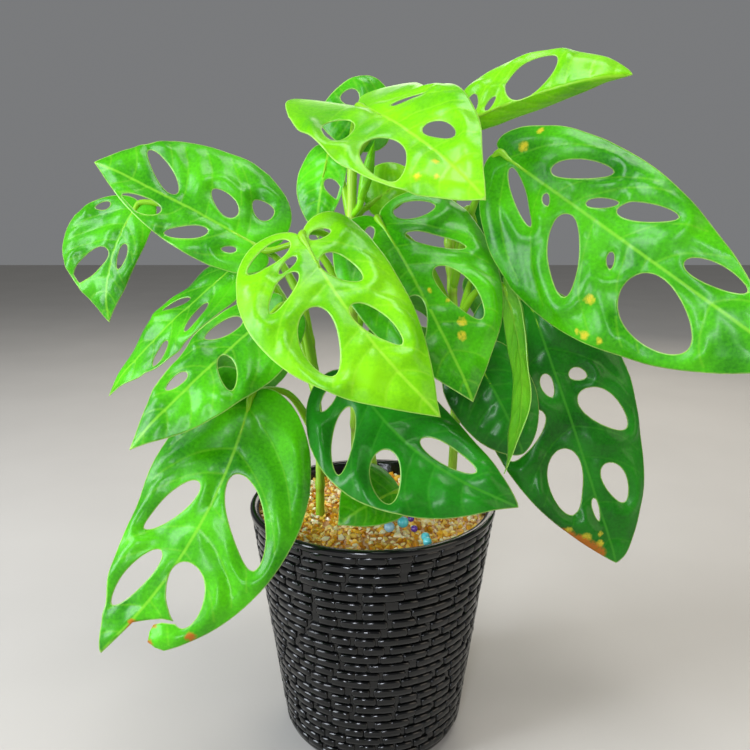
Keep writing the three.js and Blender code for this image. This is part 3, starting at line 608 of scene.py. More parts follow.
# %% Leaf table
LEAVES = {
    "leaf_centre": dict(
        stem="stem_main", height=226, base=[-27, -50, 249], tip=[25, -88, 187], face=[0.15, -0.8, 0.55],
        rise=10, wide=[27, 36], bow=6, sway=-6, sweep=[-0.06, -0.1], waves=0.6,
        holes=[(-1, 0, 0.45, 21, 9, 80), (-1, 0.09, 0.3, 10, 4, 70), (-1, 0.2, 0.48, 19, 7, 60),
               (-1, 0.48, 0.42, 29, 14, 20), (1, 0.02, 0.26, 10, 5, 80),
               (1, 0.23, 0.28, 20, 10, 30), (1, 0.54, 0.2, 24, 9, 15)],
    ),
    "leaf_left_top": dict(
        stem="stem_main", height=214, base=[-52, 5, 242], tip=[-134, 25, 282], face=[0, -0.85, 0.5],
        rise=16, wide=[20, 37], full=[1, 0.8], bow=4,
        holes=[(-1, 0.65, 0.28, 28, 8, 30), (-1, 0.28, 0.28, 18, 9, 25),
               (-1, 0.11, 0.48, 13, 9, 30), (1, 0.64, 0.45, 21, 8, 5), (1, 0.36, 0.55, 21, 6, 30),
               (1, 0.13, 0.42, 7, 3, 30)],
    ),
    "leaf_left_far": dict(
        stem="stem_left", height=198, base=[-125, 60, 261], tip=[-140, 45, 201], face=[-0.2, -0.95, 0.2],
        via=[-72, 44, 246], wide=[15, 34], bow=4, sway=-5,
        holes=[(-1, 0.58, 0.36, 27, 11, 40), (1, 0.45, 0.35, 14, 5, 0),
               (-1, 0.06, 0.57, 9, 5, 75)],
    ),
    "leaf_left_back": dict(
        stem="stem_left", height=218, base=[-65, 20, 234], tip=[-131, 10, 170], face=[-0.5, -0.6, 0.6],
        rise=12, wide=[20, 17], bow=4,
        holes=[(1, 0.35, 0.5, 18, 6, 25), (1, 0.62, 0.45, 14, 5, 20), (-1, 0.4, 0.5, 16, 5, 25)],
    ),
    "leaf_left_mid": dict(
        stem="stem_left", height=184, base=[-41, -25, 218], tip=[-98, -62, 166], face=[-0.1, -0.8, 0.6],
        rise=14, wide=[23, 17], bow=4,
        holes=[(-1, 0.27, 0.55, 18, 7, 15), (1, 0.43, 0.33, 18, 7, 60),
               (-1, 0.62, 0.34, 11, 5, 5)],
    ),
    "leaf_left_low": dict(
        stem="stem_left", height=150, base=[-52, -40, 181], tip=[-112, -75, 83], face=[-0.1, -0.9, 0.4],
        rise=12, wide=[38, 32], full=[0.6, 0.8], bow=6, sway=11,
        holes=[(-1, 0.45, 0.45, 31, 9, 25), (-1, 0.72, 0.32, 30, 9, 5),
               (1, 0.37, 0.43, 38, 15, 40), (1, 0.68, 0.27, 28, 15, 35)],
    ),
    "leaf_top_centre": dict(
        stem="stem_main", height=288, base=[-5, -10, 303], tip=[41, -70, 264], face=[0, -0.6, 0.8],
        rise=4, wide=[29, 35], fold=[-25, 0], bow=5, twist=35, sweep=[-0.25, -0.32],
        holes=[(-1, 0.21, 0.62, 18, 12, 50), (-1, 0.52, 0.46, 27, 17, 20),
               (1, 0.2, 0.45, 15, 4, 60), (1, 0.55, 0.25, 16, 8, 15)],
    ),
    "leaf_top_back": dict(
        stem="stem_main", height=282, base=[6, 22, 299], tip=[-28, 25, 302], face=[0, -0.9, 0.3],
        rise=2, under=True, wide=[16, 22],
        holes=[(-1, 0.52, 0.43, 9, 8, 0)],
    ),
    "leaf_back_left": dict(
        stem="stem_main", height=254, base=[-20, 22, 288], tip=[-26, 10, 246], face=[-0.3, -0.9, 0.3],
        rise=2, wide=[11, 14],
        holes=[(1, 0.48, 0.52, 12, 6, 45)],
    ),
    "leaf_back_mid": dict(
        stem="stem_main", height=246, base=[-1, 15, 262], tip=[24, 20, 276], face=[0, -0.9, 0.3],
        rise=4, wide=[14, 9], holes=[],
    ),
    "leaf_top_right": dict(
        stem="stem_right", height=244, base=[43, 10, 299], tip=[112, -5, 317], face=[0, -0.8, 0.6],
        rise=10, wide=[26, 11], fold=[0, 75], full=[0.6, 1], waves=0.2,
        holes=[(1, 0.44, 0.4, 28, 16, 35), (1, 0.05, 0.33, 11, 6, 75), (1, 0.16, 0.16, 8, 3, 45)],
    ),
    "leaf_right_big": dict(
        stem="stem_right", height=222, base=[56, -10, 283], tip=[151, -88, 206], face=[-0.6, -0.75, 0.3],
        rise=10, wide=[29, 44], full=[1, 0.7], bow=8, sweep=[0.1, 0.16],
        holes=[(1, 0.25, 0.44, 26, 8, 30), (1, 0.36, 0.24, 13, 4, 35), (1, 0.48, 0.45, 24, 7, 25),
               (1, 0.72, 0.3, 24, 8, 10), (-1, 0.14, 0.22, 29, 6, 30), (-1, 0.22, 0.1, 6, 3, 35),
               (-1, 0.37, 0.4, 34, 13, 50), (-1, 0.48, 0.2, 7, 3, 55),
               (-1, 0.67, 0.33, 35, 22, 15)],
    ),
    "leaf_right_low": dict(
        stem="stem_right", height=168, base=[76, 15, 216], tip=[123, 0, 85], face=[0, -0.95, 0.3],
        rise=16, wide=[36, 42], full=[0.6, 0.9], bow=4, sweep=[0.15, 0],
        holes=[(1, 0.45, 0.48, 30, 15, 35), (1, 0.3, 0.3, 9, 6, 60), (-1, 0.65, 0.26, 34, 17, 10),
               (1, 0.71, 0.31, 23, 11, 10), (-1, 0.78, 0.04, 12, 3, 5), (-1, 0.3, 0.12, 12, 6, 0),
               (-1, 0.44, 0.56, 29, 13, 50)],
    ),
    "leaf_centre_right": dict(
        stem="stem_right", height=208, base=[3, -10, 255], tip=[41, -55, 184], face=[0.2, -0.9, 0.35],
        rise=10, wide=[42, 30], bow=5, sweep=[-0.13, 0],
        holes=[(1, 0, 0.42, 20, 10, 85), (1, 0.21, 0.44, 28, 7, 60), (1, 0.51, 0.36, 30, 12, 15),
               (-1, 0.56, 0.24, 23, 10, 20), (-1, 0.06, 0.24, 9, 4, 30)],
    ),
    "leaf_low_centre": dict(
        stem="stem_front", height=168, base=[-9, -28, 189], tip=[59, -66, 143], face=[0.1, -0.8, 0.6],
        rise=8, wide=[25, 34], full=[0.8, 1], bow=6, sway=-11, sweep=[0, -0.12],
        holes=[(-1, 0.21, 0.56, 28, 10, 50), (-1, 0.48, 0.48, 23, 12, 45),
               (1, 0.62, 0.24, 26, 8, 0), (-1, 0, 0.45, 12, 6, 75)],
    ),
    "leaf_low_small": dict(
        stem="stem_front", height=124, base=[12, -25, 134], tip=[-15, -45, 126], face=[0, -0.8, 0.6],
        rise=4, wide=[12, 20], holes=[],
    ),
    "leaf_right_small": dict(
        stem="stem_right", height=150, base=[47, -2, 193], tip=[71, -12, 147], face=[0.1, -0.9, 0.3],
        rise=12, wide=[20, 22], full=[0.6, 0.6], holes=[],
    ),
    "leaf_edge_on": dict(
        stem="stem_right", height=204, base=[60, -15, 224], tip=[58, -42, 148], face=[1, 0.2, 0.1],
        rise=8, wide=[12, 12], bow=8, holes=[],
    ),
    "leaf_back_right": dict(
        stem="stem_right", height=232, base=[48, 27, 258], tip=[76, 32, 198], face=[0.1, -0.9, 0.3],
        rise=8, wide=[18, 16],
        holes=[(1, 0.4, 0.45, 18, 7, 25), (-1, 0.45, 0.4, 15, 6, 25)],
    ),
    "leaf_rear_low": dict(
        stem="stem_main", height=196, base=[6, 48, 214], tip=[20, 84, 146], face=[-0.1, 0.85, 0.5],
        rise=14, wide=[27, 29], bow=5,
        holes=[(1, 0.22, 0.5, 20, 8, 40), (1, 0.5, 0.42, 22, 9, 25), (-1, 0.25, 0.5, 22, 8, 40),
               (-1, 0.55, 0.4, 22, 10, 20)],
    ),
    "leaf_rear_right": dict(
        stem="stem_right", height=196, base=[62, 52, 226], tip=[96, 80, 168], face=[0.3, 0.75, 0.6],
        rise=14, wide=[22, 25], bow=5,
        holes=[(1, 0.3, 0.45, 20, 8, 35), (-1, 0.3, 0.48, 20, 8, 35), (-1, 0.6, 0.38, 18, 8, 20)],
    ),
    "leaf_rear_left": dict(
        stem="stem_left", height=172, base=[-52, 44, 200], tip=[-78, 78, 138], face=[-0.3, 0.75, 0.6],
        rise=16, wide=[24, 22], bow=5,
        holes=[(1, 0.28, 0.48, 20, 8, 35), (1, 0.58, 0.38, 18, 8, 20),
               (-1, 0.35, 0.45, 20, 8, 30)],
    ),
}

print("leaves:", len(LEAVES), "holes:", sum(len(leaf["holes"]) for leaf in LEAVES.values()))

# %% [markdown]
# Old leaves carry wear. One has lost a piece of its tip, one has a scorched margin and a few have
# pale yellow spots. A tear is an outline and a mark is (x, y, radius), both in millimetres on the
# flat leaf, with x from the base along the midrib and y to the left.

# %% Wear of the leaves
WEAR = {
    "leaf_left_low": dict(
        tears=[[(92, 15), (94.2, 9.2), (98.3, 4.5), (102, 0.8), (110, 0.7), (121, 0.5), (126, 6), (118, 18),
                (108, 23), (104.4, 21), (105.6, 15), (105.3, 11.2), (101.5, 8.6), (98.3, 8), (95.5, 10.2),
                (93.5, 14.5)]],
        scorch=[(96, 8, 1.3), (98.5, 8.2, 1.2), (102, 1, 1.4), (105, 12, 1.2), (94, 23, 1.8)],
    ),
    "leaf_right_low": dict(
        scorch=[(106, -30, 2.2), (109, -27.5, 2.4), (112, -25, 2.6), (115, -22, 2.8), (118, -19, 3.2),
                (121.5, -16, 3.6), (125, -13, 4), (128, -10.5, 4.2), (131, -8.5, 4)],
        yellow=[(120.6, -11, 2.2), (114, -18, 1.8), (126, -5.5, 1.8), (121, -4, 1.2)],
    ),
    "leaf_right_big": dict(
        yellow=[(8.8, 16.8, 1.5), (6.6, 7.7, 2), (73.4, -25.3, 1.8), (80.5, -37.8, 1.6), (86.6, -35.6, 1.2),
                (77.2, -38.1, 1)],
    ),
    "leaf_centre_right": dict(
        yellow=[(59.8, 10.3, 1.8), (65.5, 7.4, 1.8), (48.9, 8.8, 1), (41.8, 3.8, 0.9)],
    ),
    "leaf_top_centre": dict(yellow=[(61.7, -13.7, 1.3), (59.9, -4.1, 1.3), (65.9, -8.3, 1.1)]),
}
for name, wear in WEAR.items():
    LEAVES[name].update(wear)
print("worn leaves:", len(WEAR))

# %% [markdown]
# ## The flat leaf
#
# A leaf is drawn flat first, in millimetres, with x along the midrib and y to the left, and bent
# afterwards. Its outline is one smooth curve round the heart-shaped base and one down the margin
# to the tip. The holes are eggs whose narrow ends point outwards, as they grow between two veins.

# %% Outline and holes
BASE_OUTLINE = [[0, 0], [-0.05, 0.08], [-0.07, 0.3], [-0.04, 0.58], [0.05, 0.82], [0.18, 0.97]]
MARGIN_OUTLINE = [[0.18, 0.97], [0.33, 1], [0.52, 0.9], [0.7, 0.67], [0.85, 0.36], [0.94, 0.14], [1, 0]]
WIDEST_AT = 0.33
EDGE_STEP = 1.3


def smooth(points, steps):
    """Points of the even curve through the points."""
    points = np.array(points, float)
    padded = np.vstack([points[0], points, points[-1]])
    out = []
    for share in np.linspace(0, len(points) - 1, steps):
        k = min(int(share), len(points) - 2)
        w = share - k
        p0, p1, p2, p3 = padded[k:k + 4]
        v0 = (p2 - p0) / 2
        v1 = (p3 - p1) / 2
        bent = (3 * (p2 - p1) - 2 * v0 - v1) * w ** 2 + (2 * (p1 - p2) + v0 + v1) * w ** 3
        out.append(p1 + v0 * w + bent)
    return np.array(out)


def resampled(line, step):
    """The same line with points an even step apart."""
    gaps = np.linalg.norm(np.diff(line, axis=0), axis=1)
    reach = np.concatenate([[0], np.cumsum(gaps)])
    spots = np.linspace(0, reach[-1], max(4, round(reach[-1] / step)) + 1)
    return np.column_stack([np.interp(spots, reach, line[:, k]) for k in range(line.shape[1])])


def half_edge(leaf, length, side):
    """One side of the leaf's outline, from the base to the tip."""
    number = 0 if side > 0 else 1
    line = np.vstack([smooth(BASE_OUTLINE, 40), smooth(MARGIN_OUTLINE, 80)[1:]])
    along, out = line.T.copy()
    full = leaf.get("full", [1, 1])[number]
    out = np.where(along > WIDEST_AT, np.maximum(out, 0) ** full, out)
    along = along + leaf.get("sweep", [0, 0])[number] * out * (1 - along) ** 2
    return resampled(np.column_stack([along * length, side * out * leaf["wide"][number]]), EDGE_STEP)


def hole_edge(leaf, length, hole):
    """The closed edge of one hole."""
    side, along, out, long, wide, turn = hole
    half = leaf["wide"][0 if side > 0 else 1]
    t = np.linspace(0, 2 * math.pi, 48, endpoint=False)
    x = long / 2 * np.cos(t)
    y = wide / 2 * np.sin(t) * (1 - 0.2 * np.cos(t)) * 1.02
    y += side * 0.03 * wide * (1 - np.cos(2 * t))
    a = side * math.radians(turn)
    edge = np.column_stack([x * math.cos(a) - y * math.sin(a), x * math.sin(a) + y * math.cos(a)])
    edge += (along * length, side * out * half)
    return resampled(np.vstack([edge, edge[:1]]), EDGE_STEP)[:-1]


print("outline points:", len(half_edge(LEAVES["leaf_centre"], 90, 1)))

# %% [markdown]
# Three questions come back for every leaf: which points lie inside a loop, how far each point is
# from the nearest of many others, and what a loop looks like with its points close together.

# %% Measuring on the flat leaf
FINE_STEP = 0.35


def inside(points, loop):
    """Which points lie inside a closed loop, by counting crossings."""
    x, y = points[:, :1], points[:, 1:]
    x1, y1 = loop.T
    x2, y2 = np.roll(loop, -1, axis=0).T
    crosses = (y1 > y) != (y2 > y)
    gap = np.where(y2 == y1, 1, y2 - y1)
    return (crosses & (x < (x2 - x1) * (y - y1) / gap + x1)).sum(axis=1) % 2 == 1


def nearest(points, targets):
    """Each point's distance to the nearest target."""
    best = np.full(len(points), 1e9)
    for start in range(0, len(targets), 400):
        block = targets[start:start + 400]
        best = np.minimum(best, np.linalg.norm(points[:, None] - block[None], axis=2).min(axis=1))
    return best


def fine(loop):
    """The closed loop with points close enough together to measure distances to."""
    return resampled(np.vstack([loop, loop[:1]]), FINE_STEP)


print("measuring step:", FINE_STEP, "mm")

# %% [markdown]
# ## Veins
#
# Side veins leave the midrib nearly square near the base and more and more forward near the tip,
# and all bend forward before the margin. A vein never crosses a hole, so each one is tried a little
# further up or down the midrib and the place that stays clearest of the holes is kept.

# %% Veins
VEIN_SPACING = 0.145
VEIN_TRIES = (0, 0.03, -0.03, 0.055, -0.055)


def vein_path(leaf, length, edge, side, start):
    """One side vein, from the midrib to near the margin."""
    end = start + 0.27 * (1 - start) ** 0.8
    outer = np.interp(end * length, edge[:, 0], np.abs(edge[:, 1]))
    x0, x2, y2 = start * length, end * length, 0.88 * outer
    x1, y1 = x0 + 0.3 * (x2 - x0), 0.72 * y2
    t = np.linspace(0, 1, 60)[:, None]
    return (1 - t) ** 2 * (x0, 0) + 2 * t * (1 - t) * (x1, side * y1) + t ** 2 * (x2, side * y2)


def leaf_veins(leaf, length, edges, holes):
    """All side veins of a leaf, on both sides of the midrib."""
    veins = []
    for side, edge in edges.items():
        spread = edge[np.argmax(edge[:, 0] >= 0.1 * length):]
        for start in np.arange(0.03, 0.92, VEIN_SPACING):
            tries = [vein_path(leaf, length, spread, side, start + shift) for shift in VEIN_TRIES]
            blocked = [sum(inside(path, hole).sum() for hole in holes) for path in tries]
            veins.append(tries[int(np.argmin(blocked))])
    return veins


print("side veins:", 2 * len(np.arange(0.03, 0.92, VEIN_SPACING)), "a leaf")

# %% [markdown]
# ## Bending the flat leaf into place
#
# The leaf's frame has T along the midrib, N out of the upper side and S to the left. A flat point
# is carried to its place by arching the midrib, dropping the two halves and turning the blade a
# little from base to tip. These are the same rules that the CAD leaf was made by.

# %% Bending
MARGIN_DROP = math.radians(10)
TWIST_CENTRE = 0.4
LEAN_REACH = 4
USUAL_BOW = 5


def unit(vector):
    """The vector with length one."""
    return vector / np.linalg.norm(vector)


def leaf_frame(leaf):
    """The leaf's base point, length and its T, N and S directions."""
    base = np.array(leaf["base"], float)
    along = np.array(leaf["tip"], float) - base
    T = unit(along)
    face = np.array(leaf["face"], float)
    N = unit(face - T * face.dot(T))
    return base, np.linalg.norm(along), T, N, np.cross(N, T)


def bend(leaf, flat, z):
    """Flat points, with a height over the sheet, carried to their places in the model."""
    base, length, T, N, S = leaf_frame(leaf)
    x, y = flat.T
    share = x / length
    turn = math.radians(leaf.get("twist", 0)) * (share - TWIST_CENTRE)
    N2 = np.outer(np.cos(turn), N) - np.outer(np.sin(turn), S)
    S2 = np.outer(np.cos(turn), S) + np.outer(np.sin(turn), N)
    arch = 4 * share * (1 - share)
    number = np.where(y >= 0, 0, 1)
    sign = np.where(y >= 0, 1, -1)
    reach = np.abs(y)
    fold = np.radians(np.array(leaf.get("fold", [0, 0]), float))[number]
    rate = MARGIN_DROP / np.array(leaf["wide"], float)[number]
    angle = fold + rate * reach
    across = (np.sin(angle) - np.sin(fold)) / rate
    down = (np.cos(fold) - np.cos(angle)) / rate
    lean = angle * np.minimum(1, reach / LEAN_REACH)
    place = base + np.outer(x, T) + np.outer(leaf.get("bow", USUAL_BOW) * arch, N)
    place = place + np.outer(leaf.get("sway", 0) * arch, S)
    place = place + S2 * (sign * (across + z * np.sin(lean)))[:, None]
    return place + N2 * (z * np.cos(lean) - down)[:, None]


print("margin drop:", round(math.degrees(MARGIN_DROP)), "degrees")

# %% [markdown]
# ## The net of a blade
#
# The blade is a sheet cut from a net of small triangles. Its points lie along the outline, the
# holes, the midrib and the veins, and on an even lattice between them, so that the fine lines of
# the leaf have points to bend along. A strip of points runs beside every edge, because long thin
# triangles there would catch the light as streaks.

# %% Points of the net
NET_STEP = 1.45
ROW_STEP = 0.866 * NET_STEP
RIB_STEP = 1.3
VEIN_STEP = 1.4
HOLE_MARGIN = 1.8
RIM_GAP = 0.8
LINE_CLEARANCE = 0.7
LATTICE_CLEARANCE = 0.8


def beside(loop, gap):
    """Points on both sides of a closed loop, halfway between its own."""
    ahead = np.roll(loop, -1, axis=0)
    along = ahead - loop
    across = np.column_stack([-along[:, 1], along[:, 0]]) / np.linalg.norm(along, axis=1)[:, None]
    middle = (loop + ahead) / 2
    return np.vstack([middle + gap * across, middle - gap * across])


def drawn_in(hole, outline):
    """The hole with every point kept a strip's width inside the leaf's outline."""
    middle = hole.mean(axis=0)
    for _ in range(3):
        gap = nearest(hole, fine(outline)) * np.where(inside(hole, outline), 1, -1)
        pull = np.clip(HOLE_MARGIN - gap, 0, None)[:, None]
        hole = hole + (middle - hole) / np.linalg.norm(middle - hole, axis=1)[:, None] * pull
    return hole


def net_points(loops, cuts, veins, length):
    """The net's points, those of the loops first."""
    outline = loops[0]
    rims = np.vstack([fine(loop) for loop in loops])
    low = outline.min(axis=0)
    high = outline.max(axis=0)
    lattice = []
    for k, y in enumerate(np.arange(low[1], high[1], ROW_STEP)):
        row = np.arange(low[0] + (k % 2) * NET_STEP / 2, high[0], NET_STEP)
        lattice.append(np.column_stack([row, np.full(len(row), y)]))
    lattice = np.vstack(lattice)
    rib = np.arange(1, length - 1, RIB_STEP)
    strips = np.vstack([beside(loop, RIM_GAP) for loop in loops])
    strips = strips[nearest(strips, rims) > 0.8 * RIM_GAP]
    rows = [np.column_stack([rib, 0 * rib])] + [resampled(vein, VEIN_STEP)[1:] for vein in veins]
    lines = np.vstack(rows)
    lines = lines[nearest(lines, np.vstack([rims, strips])) > LINE_CLEARANCE]
    lattice = lattice[nearest(lattice, np.vstack([rims, strips, lines])) > LATTICE_CLEARANCE]
    points = np.vstack([strips, lines, lattice])
    return np.vstack(loops + [points[in_tissue(points, outline, cuts)]])


def in_tissue(points, outline, cuts):
    """Which points lie inside the outline and in none of the cuts."""
    keep = inside(points, outline)
    for cut in cuts:
        keep &= ~inside(points, cut)
    return keep


print("net step:", NET_STEP, "mm")

# %% [markdown]
# A Delaunay triangulation joins the points, held to the outline and the holes. The triangles that
# fell into a hole or outside the leaf are then dropped, and all of them are turned the same way up.

# %% Triangles of the net
SMALLEST_AREA = 1e-4


def blade_net(leaf, length):
    """The flat net's points and triangles, its outline, its cuts and its veins."""
    edges = {side: half_edge(leaf, length, side) for side in (1, -1)}
    outline = np.vstack([edges[1], edges[-1][-2:0:-1]])
    holes = [drawn_in(hole_edge(leaf, length, hole), outline) for hole in leaf["holes"]]
    cuts = holes + [np.array(cut, float) for cut in leaf.get("tears", [])]
    veins = leaf_veins(leaf, length, edges, holes)
    loops = [outline] + cuts
    points = net_points(loops, cuts, veins, length)
    links = []
    first = 0
    for loop in loops:
        links += [(first + k, first + (k + 1) % len(loop)) for k in range(len(loop))]
        first += len(loop)
    net = delaunay_2d_cdt([Vector(p) for p in points], links, [], 0, 1e-3)
    points = np.array([tuple(p) for p in net[0]])
    triangles = np.array(net[2])
    triangles = triangles[in_tissue(points[triangles].mean(axis=1), outline, cuts)]
    a, b, c = points[triangles].transpose(1, 0, 2)
    area = (b[:, 0] - a[:, 0]) * (c[:, 1] - a[:, 1]) - (c[:, 0] - a[:, 0]) * (b[:, 1] - a[:, 1])
    triangles[area < 0] = triangles[area < 0][:, ::-1]
    triangles = triangles[np.abs(area) > SMALLEST_AREA]
    used, triangles = np.unique(triangles, return_inverse=True)
    return points[used], triangles.reshape(-1, 3), outline, cuts, veins


print("smallest triangle kept:", SMALLEST_AREA / 2, "square millimetres")

# %% [markdown]
# ## The relief of a blade
#
# The net is given the relief of a real leaf. The tissue between the veins is quilted and the veins
# lie in shallow grooves. A soft crest runs round the outer end of each hole, the rims of the holes
# drop a little, and the margin swells before it curls down. Slow waves run across the whole blade.
# Each of these is a smooth bump over the distance to the nearest vein, hole or margin, given by its
# height and its reach.

# %% Relief
QUILT_HEIGHT, QUILT_REACH = 1.1, 5.2
GROOVE_DEPTH, GROOVE_REACH = 0.3, 0.9
CREST_HEIGHT, CREST_PLACE, CREST_REACH = 1.3, 4.8, 2.6
RIM_DROP, RIM_REACH = 0.4, 1.6
SWELL_HEIGHT, SWELL_PLACE, SWELL_REACH = 0.5, 6, 3.0
CURL_DROP, CURL_REACH = 0.7, 2.4
USUAL_WAVES = 1.1
LONG_WAVE, SHORT_WAVE = 40, 20
RIPPLE_HEIGHT = 0.3
RELIEF_MIDDLE = 0.55


def relief(flat, outline, cuts, veins, waves, seed):
    """The sheet's height at each flat point, and its distances to an edge, a vein and the midrib."""
    rng = np.random.default_rng(seed)
    to_margin = nearest(flat, fine(outline))
    to_hole = nearest(flat, np.vstack([fine(cut) for cut in cuts])) if cuts else np.full(len(flat), 99.0)
    to_vein = nearest(flat, np.vstack(veins))
    to_rib = np.abs(flat[:, 1])
    to_line = np.minimum(to_vein, to_rib)
    edge = np.minimum(to_margin, to_hole)
    calm = np.clip(edge / 6, 0, 1)
    height = QUILT_HEIGHT * calm * (1 - np.exp(-(to_line / QUILT_REACH) ** 2))
    height -= GROOVE_DEPTH * np.exp(-(to_vein / GROOVE_REACH) ** 2) * np.clip(edge / 3, 0, 1)
    for cut in cuts:
        middle = cut.mean(axis=0)
        outward = unit(np.array([0.35, math.copysign(1, middle[1])]))
        facing = np.clip((flat - middle) @ outward / 8, -0.2, 1)
        past_crest = nearest(flat, fine(cut)) - CREST_PLACE
        height += CREST_HEIGHT * facing * np.exp(-(past_crest / CREST_REACH) ** 2)
    height -= RIM_DROP * np.exp(-(to_hole / RIM_REACH) ** 2)
    height += SWELL_HEIGHT * np.exp(-((to_margin - SWELL_PLACE) / SWELL_REACH) ** 2)
    height -= CURL_DROP * np.exp(-(to_margin / CURL_REACH) ** 2)
    for reach, tall in ((LONG_WAVE, waves), (SHORT_WAVE, RIPPLE_HEIGHT)):
        for k in range(3):
            heading = rng.uniform(0, 2 * math.pi)
            wave = flat @ (math.cos(heading), math.sin(heading)) * 2 * math.pi / reach
            height += tall * 0.6 * np.sin(wave + rng.uniform(0, 6.28)) * np.clip(to_rib / 6, 0, 1)
    height *= np.clip(flat[:, 0] / 8, 0, 1) * 0.75 + 0.25
    return height - RELIEF_MIDDLE, edge, to_vein, to_rib


print("quilting:", QUILT_HEIGHT, "mm high")

# %% [markdown]
# ## The leaf's stalk
#
# The stalk leaves the stem with a clasping sheath, thins out, arches over and thickens again at the
# joint just behind the blade, which lets the leaf turn to the light. Then it runs on under the
# blade as the midrib.

# %% Stalk
STALK_SIDES = 12
STALK_POINTS = 34
STALK_SWELLS = [0, 0.12, 0.3, 0.56, 0.66, 0.8, 1]
STALK_RADII = [2.3, 2.1, 1.6, 1.35, 1.7, 1.5, 1.0]


def stem_point(stem, height):
    """The point of a stem's axis at a height."""
    shares = np.linspace(0, 1, 400)
    line = np.array([curve_point(stem_paths[stem], s) for s in shares])
    return line[np.argmin(np.abs(line[:, 2] - height))]


def stalk(leaf):
    """The stalk's points and faces."""
    start = stem_point(leaf["stem"], leaf["height"])
    if leaf.get("under"):
        ends = [bend(leaf, np.array([[x, 0.0]]), np.array([z]))[0] for x, z in ((1.0, -5.0), (2.0, 0.0))]
    else:
        ends = [bend(leaf, np.array([[x, 0.0]]), np.array([-0.6]))[0] for x in (-2.0, 4.0)]
    middle = np.array(leaf["via"], float) if "via" in leaf else (start + ends[0]) / 2
    middle = middle + (0, 0, leaf.get("rise", 0))
    points = [start, middle] + ends
    shares = np.linspace(0, 1, STALK_POINTS)
    path = [curve_point(points, share) for share in shares]
    radii = [np.interp(share, STALK_SWELLS, STALK_RADII) for share in shares]
    if not leaf.get("under"):
        for x in (7.0, 11.0, 16.0):
            path.append(bend(leaf, np.array([[x, 0.0]]), np.array([-0.75]))[0])
            radii.append(1.0 - 0.035 * x)
    return tube(path, radii, STALK_SIDES)


print("stalk radius at the stem:", STALK_RADII[0], "mm")

# %% [markdown]
# ## Building the leaves
#
# A leaf is one mesh: the two skins of the blade, the thin rim between them round every edge, and
# the stalk. Each skin lies half a blade's thickness from the sheet, along the sheet's own normal,
# and the midrib stands out on the under side.

# %% Skins and rim
BLADE_THICKNESS = 0.55
RIDGE_HEIGHT = 1.1
RIDGE_WIDTH = 1.1


def skin_normals(points, triangles):
    """The outward direction of an open skin at each of its points."""
    a, b, c = points[triangles].transpose(1, 0, 2)
    faces = np.cross(b - a, c - a)
    out = np.zeros_like(points)
    for k in range(3):
        np.add.at(out, triangles[:, k], faces)
    return out / np.maximum(np.linalg.norm(out, axis=1), 1e-9)[:, None]


def two_skins(skin, triangles, edge, to_rib, fading):
    """The points of the upper and of the lower skin."""
    normals = skin_normals(skin, triangles)
    half = BLADE_THICKNESS / 2 * (0.55 + 0.45 * np.clip(edge / 1.5, 0, 1))
    ridge = RIDGE_HEIGHT * np.exp(-(to_rib / RIDGE_WIDTH) ** 2) * fading * np.clip(edge, 0, 1)
    return skin + normals * half[:, None], skin - normals * (half + ridge)[:, None]


def rim_faces(triangles, count):
    """Faces that join the skins wherever a triangle's side has no neighbour."""
    sides = {}
    for a, b, c in triangles:
        for pair in ((a, b), (b, c), (c, a)):
            sides[pair] = True
    return [(b, a, a + count, b + count) for a, b in sides if (b, a) not in sides]


print("blade thickness:", BLADE_THICKNESS, "mm")

# %% [markdown]
# Each point of a leaf carries a few numbers that its surface reads: how far it is from an edge,
# from a vein and from the midrib, whether it is on the under side or on the stalk, and how scorched
# or how yellow it is there. The stalk counts as far away from every edge and vein.

# %% Leaves
FAR_AWAY = 9


def marks(flat, spots):
    """How strongly each flat point is marked, from (x, y, radius) spots in the flat leaf."""
    strength = np.zeros(len(flat))
    for x, y, radius in spots:
        reach = np.linalg.norm(flat - (x, y), axis=1) / radius
        strength = np.maximum(strength, np.clip(1.6 - reach, 0, 1))
    return strength


def store(piece, title, values):
    """Stores one number for each of the piece's points under a title."""
    attribute = piece.data.attributes.new(title, "FLOAT", "POINT")
    attribute.data.foreach_set("value", np.asarray(values, np.float32))


def build_leaf(name, leaf, seed):
    """One leaf as a closed mesh piece with its attributes."""
    length = leaf_frame(leaf)[1]
    flat, triangles, outline, cuts, veins = blade_net(leaf, length)
    waves = leaf.get("waves", USUAL_WAVES)
    height, edge, to_vein, to_rib = relief(flat, outline, cuts, veins, waves, seed)
    fading = np.clip(1 - flat[:, 0] / length, 0, 1)
    upper, lower = two_skins(bend(leaf, flat, height), triangles, edge, to_rib, fading)
    count = len(flat)
    rim = rim_faces(triangles, count)
    stalk_points, stalk_faces = stalk(leaf)
    points = np.vstack([upper, lower, stalk_points])
    faces = [tuple(t) for t in triangles] + [tuple(t[::-1] + count) for t in triangles] + rim
    shading = np.ones(len(faces) + len(stalk_faces), bool)
    shading[len(faces) - len(rim):len(faces)] = False
    faces += [tuple(k + 2 * count for k in face) for face in stalk_faces]
    piece = new_piece(name + "_blade", points, faces)
    piece.data.polygons.foreach_set("use_smooth", shading)
    none, full = np.zeros(count), np.ones(count)
    scorch = marks(flat, leaf.get("scorch", []))
    yellow = marks(flat, leaf.get("yellow", []))
    above_below_stalk = {
        "edge": (edge, edge, FAR_AWAY), "vein": (to_vein, to_vein, FAR_AWAY),
        "rib": (to_rib, to_rib, FAR_AWAY), "under": (none, full, 0), "stalk": (none, none, 1),
        "scorch": (scorch, scorch, 0), "yellow": (yellow, yellow, 0),
    }
    for title, (above, below, on_stalk) in above_below_stalk.items():
        store(piece, title, np.concatenate([above, below, np.full(len(stalk_points), on_stalk)]))
    return piece


